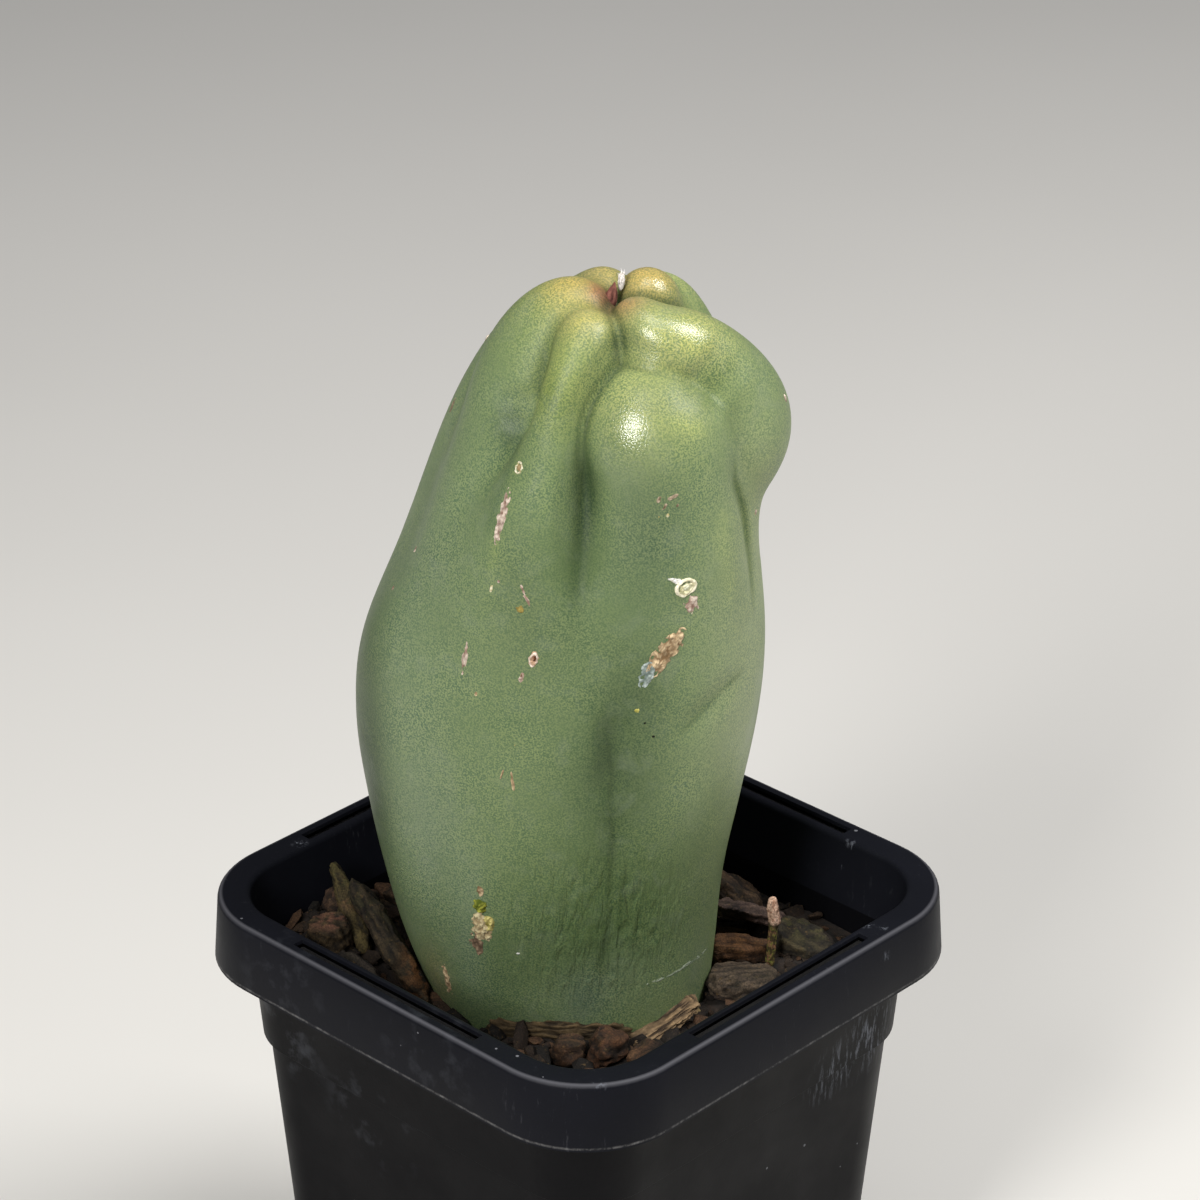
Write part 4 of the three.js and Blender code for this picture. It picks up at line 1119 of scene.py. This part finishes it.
# Name, middle, direction, length and width, rise, tones, fineness
SCABS = [
    ("scab_diagonal_foot", (10.3, -24.4, 51.0), (0.42, 0, 0.9), (5.6, 2.0), 0.2, GREY, 5),
    ("scab_diagonal", (13.0, -23.9, 53.9), (0.6, 0, 0.8), (9.2, 3.0), 0.3, TAN, 5),
    ("scab_under_wool", (16.5, -22.6, 61.2), (0.3, 0, 1), (3.2, 2.5), 0.2, PINK, 4),
    ("scab_ridge", (-11.0, -18.5, 73.5), (0.04, 0, 1), (9.0, 1.5), 0.18, PINK, 5),
    ("scab_left_streak", (-16.8, -19.8, 50.8), (0.12, 0, 1), (5.6, 0.9), 0.14, PINK, 4),
    ("scab_low_patch", (-14.7, -20.2, 4.6), (-0.12, 0, 1), (5.6, 3.6), 0.55, ("#a08c68", "#d6c9a0"), 5),
    ("scab_low_patch_foot", (-15.5, -19.6, 1.2), (-0.25, 0, 1), (4.2, 2.5), 0.3, ("#5c4a3a", "#a48c72"), 4),
    ("scab_low_patch_moss", (-13.7, -20.5, 5.4), (0, 0, 1), (3.0, 2.2), 0.42, ("#857c3c", "#cfc27c"), 4),
    ("moss_ball", (-15.0, -20.4, 8.6), (0.3, 0, 1), (2.6, 2.4), 1.0, MOSS, 4),
    ("scab_low_tip", (-15.0, -20.7, 11.6), (0.1, 0, 1), (2.6, 1.3), 0.24, TAN, 4),
    ("scab_foot_streak", (-20.4, -14.3, -8.6), (0.05, 0, 1), (7.0, 1.5), 0.16, TAN, 4),
    ("scab_speck_1", (11.6, -22.3, 78.0), (0.4, 0, 1), (1.1, 0.6), 0.08, BROWN, 3),
    ("scab_speck_2", (13.6, -22.0, 78.3), (0.9, 0, 0.4), (1.8, 0.6), 0.08, BROWN, 3),
    ("scab_speck_3", (12.4, -22.3, 76.9), (0.7, 0, 1), (1.2, 0.5), 0.08, BROWN, 3),
    ("scab_speck_6", (14.2, -21.9, 76.9), (0.4, 0, 1), (0.8, 0.5), 0.08, BROWN, 3),
    ("scab_speck_4", (11.6, -22.4, 75.3), (0.7, 0, 1), (0.9, 0.7), 0.12, CREAM, 3),
    ("scab_speck_5", (12.9, -22.3, 75.6), (0.7, 0, 1), (0.7, 0.5), 0.12, CREAM, 3),
    ("scab_cross_1", (-7.5, -22.8, 61.9), (0.5, 0, -1), (2.2, 0.6), 0.12, PINK, 3),
    ("scab_cross_2", (-8.2, -22.7, 63.6), (0.4, 0, -1), (1.5, 0.5), 0.12, PINK, 3),
    ("scab_dot_ochre", (-8.6, -22.8, 60.4), (1, 0, 0), (1.3, 1.2), 0.1, ("#7c6c38", "#988848"), 3),
    ("scab_dot_left_1", (-12.9, -20.8, 62.8), (0.2, 0, 1), (1.3, 0.5), 0.12, CREAM, 3),
    ("scab_dot_left_2", (-11.8, -21.3, 64.2), (1, 0, 0), (0.7, 0.6), 0.1, PINK, 3),
    ("scab_dot_left_3", (-15.2, -21.4, 45.7), (0, 0, 1), (0.8, 0.5), 0.1, TAN, 3),
    ("scab_thread_1", (-11.4, -22.9, 32.8), (0.35, 0, 1), (2.4, 0.35), 0.1, TAN, 3),
    ("scab_thread_2", (-9.8, -23.3, 31.8), (-0.12, 0, 1), (3.6, 0.5), 0.1, TAN, 3),
    ("scab_dot_right_1", (8.6, -24.7, 44.6), (1, 0, 0), (0.9, 0.7), 0.1, ("#9a9440", "#c8c070"), 3),
    ("scab_dot_pale", (-9.4, -23.6, 38.2), (0.3, 0, 1), (0.9, 0.5), 0.1, CREAM, 3),
    ("scab_dot_white", (-9.2, -21.3, 0.5), (1, 0, 0), (0.7, 0.5), 0.12, ("#d8d8d0", "#ffffff"), 3),
    ("scab_wool_hairs", (13.9, -23.2, 65.4), (1, 0, -0.3), (2.2, 0.8), 0.16, ("#c8c4b4", "#ffffff"), 4),
    ("scab_hole_bed", (-6.6, -23.9, 52.7), (0.25, 0, 1), (2.8, 1.2), 0.12, ("#86604a", "#c8a88c"), 4),
    ("scab_hole", (-6.4, -23.9, 52.8), (0.3, 0, 1), (1.5, 0.5), 0.24, ("#3a2014", "#6a4226"), 4),
    ("scab_hole_small_bed", (-8.3, -23.8, 49.8), (0.25, 0, 1), (2.0, 0.8), 0.1, PINK, 4),
    ("scab_hole_small", (-8.4, -23.8, 49.9), (0.25, 0, 1), (0.8, 0.25), 0.2, ("#5a4030", "#8a6a50"), 3),
    ("scab_areole_bed", (-8.7, -17.3, 80.7), (0.3, 0, 1), (1.1, 0.9), 0.05, ("#8a7250", "#b09a72"), 3),
    ("scab_wool_bed", (15.7, -22.7, 64.0), (0.9, 0, 0.3), (2.8, 2.0), 0.12, ("#b9b88a", "#efeed6"), 4),
    ("scab_black_dot_1", (9.8, -24.5, 42.5), (1, 0, 0), (0.5, 0.4), 0.08, ("#0c0d08", "#1a1c12"), 3),
    ("scab_black_dot_2", (11.1, -24.2, 40.1), (1, 0, 0), (0.5, 0.4), 0.08, ("#0c0d08", "#1a1c12"), 3),
    ("scab_ear", (30.6, -4.2, 86.0), (0, 0, 1), (1.6, 0.9), 0.14, PINK, 3),
    ("scab_left_head", (-13.5, 9.8, 89.1), (0, 0, 1), (1.3, 0.8), 0.14, PINK, 3),
    ("scab_limb_1", (-28.4, -4.3, 54.8), (0, 0, 1), (1.3, 0.8), 0.12, PINK, 3),
    ("scab_limb_2", (-25.4, -3.5, 60.9), (0, 0, 1), (1.1, 0.7), 0.12, PINK, 3),
    ("scab_pinch", (26.3, -8.4, 69.3), (0, 0, 1), (1.1, 0.8), 0.12, PINK, 3),
]
# Name, middle, direction, length and width, thickness, rise, tones
RINGS = [
    ("areole_rim", (-8.7, -17.3, 80.7), (0.3, 0, 1), (1.6, 1.3), 0.2, 0.16, CREAM),
    ("wool_rim", (15.7, -22.7, 64.0), (0.9, 0, 0.3), (3.0, 2.3), 0.2, 0.3, ("#c2ba94", "#f0e9d0")),
    ("wool_rim_inner", (15.9, -22.7, 64.0), (0.9, 0, 0.3), (1.7, 1.2), 0.26, 0.3, ("#b8b488", "#ece6c8")),
    ("hole_rim", (-6.6, -23.9, 52.7), (0.25, 0, 1), (2.0, 1.0), 0.26, 0.2, ("#a88a74", "#ecdccc")),
]
LEAF_FOOT = (3.9, -1.9, 98.6)
LEAF_TIP = (5.1, -1.3, 103.0)
SCRATCH = [(10.2, -18.2, -6.4), (13.3, -16.1, -6.2), (16.5, -13.1, -5.9), (20.0, -7.1, -6.5)]
FRONT_CORK = [
    (-17, -14.4, -15.8), (-12, -17.6, -15.2), (-8.3, -19, -15), (-2.9, -20, -14.8), (3.3, -19.9, -14.8),
    (10.5, -18, -15.6),
]
RIGHT_CORK = [
    (6.5, -21.2, -17.2), (10.5, -20.2, -16.4), (14, -17.8, -15), (16.8, -15, -13.8), (19.6, -12.4, -12.8),
]
BACK_MARK_COUNT = 12
BACK_MARK_SEED = 23
BACK_MARK_RISE = 0.14
FIRST_BACK_SEED = 80
FIRST_RING_SEED = 61


def skin_marks():
    material = scab_material()
    for seed, (name, middle, along, size, rise, tones, fineness) in enumerate(SCABS):
        scab(name, straight(middle, along, size[0]), size[1], rise, tones, seed, material, fineness)
    draw = random.Random(BACK_MARK_SEED)
    for number in range(BACK_MARK_COUNT):
        turn = math.radians(draw.uniform(5, 175))
        middle = (22 * math.cos(turn), 24 * math.sin(turn), draw.uniform(4, 84))
        size = draw.uniform(0.8, 3.2)
        path = straight(middle, (draw.uniform(-0.5, 0.5), 0, 1), size)
        tones = draw.choice([TAN, PINK, BROWN])
        width = size * draw.uniform(0.3, 0.6)
        seed = FIRST_BACK_SEED + number
        scab(f"back_mark_{number:02d}", path, width, BACK_MARK_RISE, tones, seed, material, 3)
    scab(
        "skin_scratch", SCRATCH, width=0.6, rise=0.05, tones=("#7c8a72", "#a9b39c"), seed=51,
        material=material, fineness=5, ragged=0.9)
    for seed, ring in enumerate(RINGS, FIRST_RING_SEED):
        skin_ring(*ring, seed, material)
    cork_ridge(
        "foot_cork_front", FRONT_CORK, depth=2.6, tall=6.6, lumps=0.14,
        tones=("#2a2217", "#5c4c34"), seed=71, material=material)
    cork_ridge(
        "foot_cork_right", RIGHT_CORK, depth=5.2, tall=2.5, lumps=0.22,
        tones=("#33281d", "#866f53", "#77742c"), seed=72, material=material)
    leaf_scale(material)


def leaf_scale(material):
    """The youngest scale leaf, red-brown, that stands against the wool in the gap between the heads."""
    leaf = primitive("young_leaf_scale", bpy.ops.mesh.primitive_ico_sphere_add, subdivisions=4, radius=1)
    ball = mesh_points(leaf)
    up = (ball[:, 2] + 1) / 2
    narrow = 1 - 0.75 * up ** 2
    across = ball[:, 0] * 1.25 * narrow
    through = ball[:, 1] * 0.55 * narrow
    rough = soft_noise(ball, 2.0)
    foot, tip = np.array(LEAF_FOOT), np.array(LEAF_TIP)
    points = foot + (tip - foot) * up[:, None]
    points += np.stack([across, through + 0.5 * up ** 2, rough * 0.1], axis=1)
    finish_on_skin(leaf, points, mixed("#3c1d19", "#86564a", 0.2 + up * 0.6 + rough * 0.7), material)


# Bark

def grain_coordinates(points, seed):
    """Millimetres along, across and through a chip, found from its own longest direction."""
    middle = points.mean(axis=0)
    spread = points - middle
    _, axes = np.linalg.eigh(spread.T @ spread)
    return spread @ axes[:, ::-1] / MM + seed * 11.0


def weathered(piece, seed, cell, ridge, flake):
    """Splits a chip's faces to about one cell, then raises fibres and flakes on it, in millimetres."""
    modify(piece, "REMESH", {"mode": "VOXEL", "voxel_size": cell * MM})
    modify(piece, "SMOOTH", {"factor": 0.5, "iterations": 1})
    points = mesh_points(piece)
    grain = grain_coordinates(points, seed)
    normals = np.zeros(len(points) * 3, np.float32)
    piece.data.vertices.foreach_get("normal", normals)
    fibre = np.empty(len(points))
    lump = np.empty(len(points))
    for i, (u, v, w) in enumerate(grain):
        fibre[i] = noise.fractal(Vector((u * 0.16, v * 1.0, w * 1.0)), 0.8, 2.1, 4)
        lump[i] = noise.fractal(Vector((u * 0.35, v * 0.45, w * 0.45)), 1.0, 2.0, 2)
    raised = fibre * ridge + np.round(lump * 2.5) / 2.5 * flake
    set_mesh_points(piece, points + normals.reshape(-1, 3) * raised[:, None] * MM)
    set_grain(piece, grain)
    return fibre


# Dark and light colour of each chip that shows, and of the rest
CHIP_TONES = {
    1: ("#15110c", "#3d3324"),
    2: ("#201b11", "#524728"),
    3: ("#1e180f", "#4c3d29"),
    4: ("#1e1a17", "#403832"),
    5: ("#201611", "#473325"),
    6: ("#2c2220", "#5f4c44"),
    7: ("#2a1a10", "#5c3f27"),
    8: ("#2a231c", "#5c4e40"),
    9: ("#191510", "#3c3526"),
    10: ("#1f150e", "#563925"),
    11: ("#1c130d", "#4a3322"),
    12: ("#23170f", "#543a26"),
}
CHIP_TONE = ("#1e1610", "#4c3a29")
CHIP_COUNT = 22
MOSSY_CHIPS = {1: 0.2, 2: 0.4, 9: 0.5, 7: 0.15}
# Torn edges that are redder or more orange than their chip: middle and reach in the stem's frame
TORN_EDGES = [
    ((-39.5, 0, -6.4), (6, 6, 0.9), "#7d5343", 0.7),
    ((-25, -8, -10), (2.2, 5, 9), "#7a4f2a", 0.7),
    ((24.5, 2.5, -12), (6, 3, 2), "#6e482a", 0.6),
]


def bark_chips():
    material = bark_material()
    for number in range(1, CHIP_COUNT + 1):
        node = f"bark_chip_{number:02d}"
        chip = merged_copy(node, f"bark_{number:02d}")
        fibre = weathered(chip, number, cell=0.36, ridge=0.3, flake=0.42)
        dark, light = CHIP_TONES.get(number, CHIP_TONE)
        # Raised fibres are lighter and the grooves between them darker: the bark's own streaks, with painted
        # shade in the grooves
        colours = mixed(dark, light, 0.45 + fibre * 1.1)
        points = mesh_points(chip) / MM
        moss = MOSSY_CHIPS.get(number, 0.08)
        high = smooth_step(0.4, 0.95, (points[:, 2] - points[:, 2].min()) / np.ptp(points[:, 2]))
        patch = soft_noise(points, 0.6)
        colours = mixed(colours, "#4a4824", moss * high * smooth_step(-0.1, 0.25, patch))
        for middle, reach, colour, strength in TORN_EDGES:
            away = points - stem_to_row([middle])[0] / MM
            turned = [away @ (TURN_COS, TURN_SIN, 0), away @ (-TURN_SIN, TURN_COS, 0), away[:, 2]]
            turned = np.stack(turned, axis=1)
            share = np.exp(-((turned / reach) ** 2).sum(axis=1))
            colours = mixed(colours, colour, strength * share * smooth_step(-0.2, 0.2, patch))
        set_tone(chip, colours)
        finish_piece(chip, material, [node])


def soil_height(x, y):
    """Height of the mix's top, in millimetres, as in the solid."""
    heap = 5.5 * math.exp(-((x + 36) ** 2 + (y + 24) ** 2) / 260)
    slope = 1.2 * math.exp(-((x - 26) ** 2 + (y - 30) ** 2) / 500)
    rolls = 0.7 * math.sin(x * 0.41 + 1.3) * math.sin(y * 0.37 + 0.4)
    return POT_HEIGHT - SOIL_DEPTH + heap + slope + rolls


CRUMB_COUNT = 1100
CRUMB_SEED = 7
CRUMB_CORNER = 10
CRUMB_GAP = 0.3
# Share of the crumbs that are small, and the least and greatest half length of small and of large ones
SMALL_SHARE = 0.75
SMALL_CRUMB = (0.7, 1.6)
LARGE_CRUMB = (1.6, 3.4)


def mix_crumbs():
    """Loose crumbs and splinters of bark over the top of the mix, by a seeded draw."""
    draw = random.Random(CRUMB_SEED)
    inside = wall_half(SOIL_DEPTH) - WALL - 1.2
    places = []
    while len(places) < CRUMB_COUNT:
        x = draw.uniform(-inside, inside)
        y = draw.uniform(-inside, inside)
        past = (max(abs(side) - inside + CRUMB_CORNER, 0) for side in (x, y))
        in_stem = (TURN_COS * x + TURN_SIN * y, -TURN_SIN * x + TURN_COS * y, -SOIL_DEPTH)
        if math.hypot(*past) < CRUMB_CORNER and stem_distance([in_stem])[0] > CRUMB_GAP:
            places.append((x, y))
    pattern = primitive("crumb_pattern", bpy.ops.mesh.primitive_ico_sphere_add, subdivisions=1, radius=1)
    ball = mesh_points(pattern)
    faces = np.array([list(face.vertices) for face in pattern.data.polygons])
    bpy.data.objects.remove(pattern)
    points, polygons, colours, grains = [], [], [], []
    shades = [linear(c) for c in ("#120d09", "#261b13", "#35271c", "#4b3524", "#2c221a", "#1d1611")]
    for number, (x, y) in enumerate(places):
        length = draw.uniform(*(SMALL_CRUMB if draw.random() < SMALL_SHARE else LARGE_CRUMB))
        size = np.array([length, length * draw.uniform(0.3, 0.8), length * draw.uniform(0.15, 0.5)])
        turn = Matrix.Rotation(draw.uniform(0, 6.28), 3, "Z") @ Matrix.Rotation(draw.gauss(0, 0.45), 3, "X")
        turn = turn @ Matrix.Rotation(draw.gauss(0, 0.35), 3, "Y")
        ragged = np.array([draw.uniform(0.7, 1.25) for _ in ball])[:, None]
        local = ball * size * ragged
        placed = local @ np.array(turn.transposed()) + (x, y, soil_height(x, y) + size[2] * 0.5)
        polygons.append(faces + len(ball) * number)
        points.append(placed * MM)
        grains.append(local + number * 5.0)
        colours.append(np.tile(draw.choice(shades), (len(ball), 1)))
    mesh = bpy.data.meshes.new("bark_crumbs")
    mesh.from_pydata(np.concatenate(points).tolist(), [], np.concatenate(polygons).tolist())
    crumbs = bpy.data.objects.new("bark_crumbs", mesh)
    bpy.context.scene.collection.objects.link(crumbs)
    set_tone(crumbs, np.concatenate(colours))
    set_grain(crumbs, np.concatenate(grains))
    finish_piece(crumbs, bpy.data.materials["composted_conifer_bark"], sharp=30)


def dead_twig():
    """The thin dead shoot: a furrowed brown shaft with a pale papery swollen tip."""
    twig = merged_copy("twig", "dead_twig")
    weathered(twig, 31, cell=0.2, ridge=0.16, flake=0.12)
    points = mesh_points(twig) / MM
    height = points[:, 2] - POT_HEIGHT
    rough = soft_noise(points, 1.3)
    colours = mixed("#3a3119", "#d8b49c", smooth_step(-8.4, -7.0, height + rough * 1.2))
    colours = mixed(colours, "#8a6048", smooth_step(0.05, 0.35, rough) * 0.8)
    flecked = smooth_step(0.1, 0.35, soft_noise(points, 2.4))
    colours = mixed(colours, "#6f6c30", smooth_step(-7.4, -8.8, height) * flecked)
    set_tone(twig, colours)
    finish_piece(twig, bpy.data.materials["composted_conifer_bark"], ["twig"])


HAIR_COUNT = 90
HAIR_SEED = 19
HAIR_FOOT = 0.075
HAIR_TIP = 0.015
HAIR_SPREAD = 0.8
WOOL_HEIGHT = 2.3


def tip_wool():
    """White wool at the growing point: fine hairs out of a small core, leaning together to a point."""
    core = merged_copy("tip_wool", "wool_core")
    points = mesh_points(core)
    middle = points.mean(axis=0)
    set_mesh_points(core, middle + (points - middle) * (0.5, 0.5, 0.7) + (0, 0, 0.5 * MM))
    draw = random.Random(HAIR_SEED)
    low = points[:, 2].min()
    tip = Vector(middle) + Vector((0, 0, WOOL_HEIGHT * MM))
    hairs = [core]
    for number in range(HAIR_COUNT):
        turn = draw.uniform(0, 2 * math.pi)
        out = draw.uniform(0.1, 0.8) * HAIR_SPREAD * MM
        height = low + draw.uniform(1.6, 2.8) * MM
        foot = Vector((middle[0] + out * math.cos(turn), middle[1] + out * math.sin(turn), height))
        end = tip + Vector([draw.gauss(0, 0.3) * MM for _ in range(3)])
        way = (end - foot) * draw.uniform(0.55, 1.0)
        hairs.append(primitive(
            f"wool_hair_{number}", bpy.ops.mesh.primitive_cone_add,
            vertices=5, radius1=HAIR_FOOT * MM, radius2=HAIR_TIP * MM, depth=way.length,
            location=foot + way / 2, rotation=way.to_track_quat("Z", "Y").to_euler()))
    wool = joined("growing_point_wool", hairs)
    finish_piece(wool, wool_material(), ["tip_wool"])


# Stage

def stage():
    floor = primitive("studio_floor", bpy.ops.mesh.primitive_plane_add, size=6, location=(0, 0, 0))
    floor.data.materials.append(floor_material())
    world = bpy.context.scene.world or bpy.data.worlds.new("studio")
    bpy.context.scene.world = world
    world.use_nodes = True
    fill(world.node_tree.nodes["Background"], {"Color": BACKDROP_COLOUR, "Strength": BACKDROP_STRENGTH})


def stem_direction(azimuth, elevation):
    """A direction seen from the stem's best side: azimuth to the viewer's right, elevation up."""
    a, e = math.radians(azimuth), math.radians(elevation)
    x, y, z = math.sin(a) * math.cos(e), -math.cos(a) * math.cos(e), math.sin(e)
    return Vector((TURN_COS * x - TURN_SIN * y, TURN_SIN * x + TURN_COS * y, z))


def softbox(name, azimuth, elevation, size, power, colour):
    data = bpy.data.lights.new(name, "AREA")
    data.shape = "RECTANGLE"
    data.size, data.size_y = size
    data.energy = power
    data.color = colour
    light = bpy.data.objects.new(name, data)
    way = stem_direction(azimuth, elevation)
    light.location = Vector(LIGHTS_AIM) + way * LIGHTS_AWAY
    light.rotation_euler = way.to_track_quat("Z", "Y").to_euler()
    bpy.context.scene.collection.objects.link(light)


def studio():
    for light in LIGHTS:
        softbox(*light)
    data = bpy.data.cameras.new("photo_camera")
    data.lens = PHOTO_LENS
    data.sensor_width = PHOTO_SENSOR
    data.clip_start, data.clip_end = 0.02, 20
    camera = bpy.data.objects.new("photo_camera", data)
    turn = Matrix.Rotation(CAMERA_AZIMUTH, 4, "Z") @ Matrix.Rotation(math.pi / 2 - CAMERA_ELEVATION, 4, "X")
    camera.matrix_world = Matrix.Translation(CAMERA_PLACE) @ turn @ Matrix.Rotation(CAMERA_ROLL, 4, "Z")
    bpy.context.scene.collection.objects.link(camera)
    bpy.context.scene.camera = camera
    bpy.context.scene.view_settings.view_transform = "Standard"


stage()
studio()
nursery_pot()
cactus_stem()
skin_marks()
bark_chips()
mix_crumbs()
dead_twig()
tip_wool()
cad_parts["potting_mix"].data.materials.clear()
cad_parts["potting_mix"].data.materials.append(mix_material())
deselect_all()
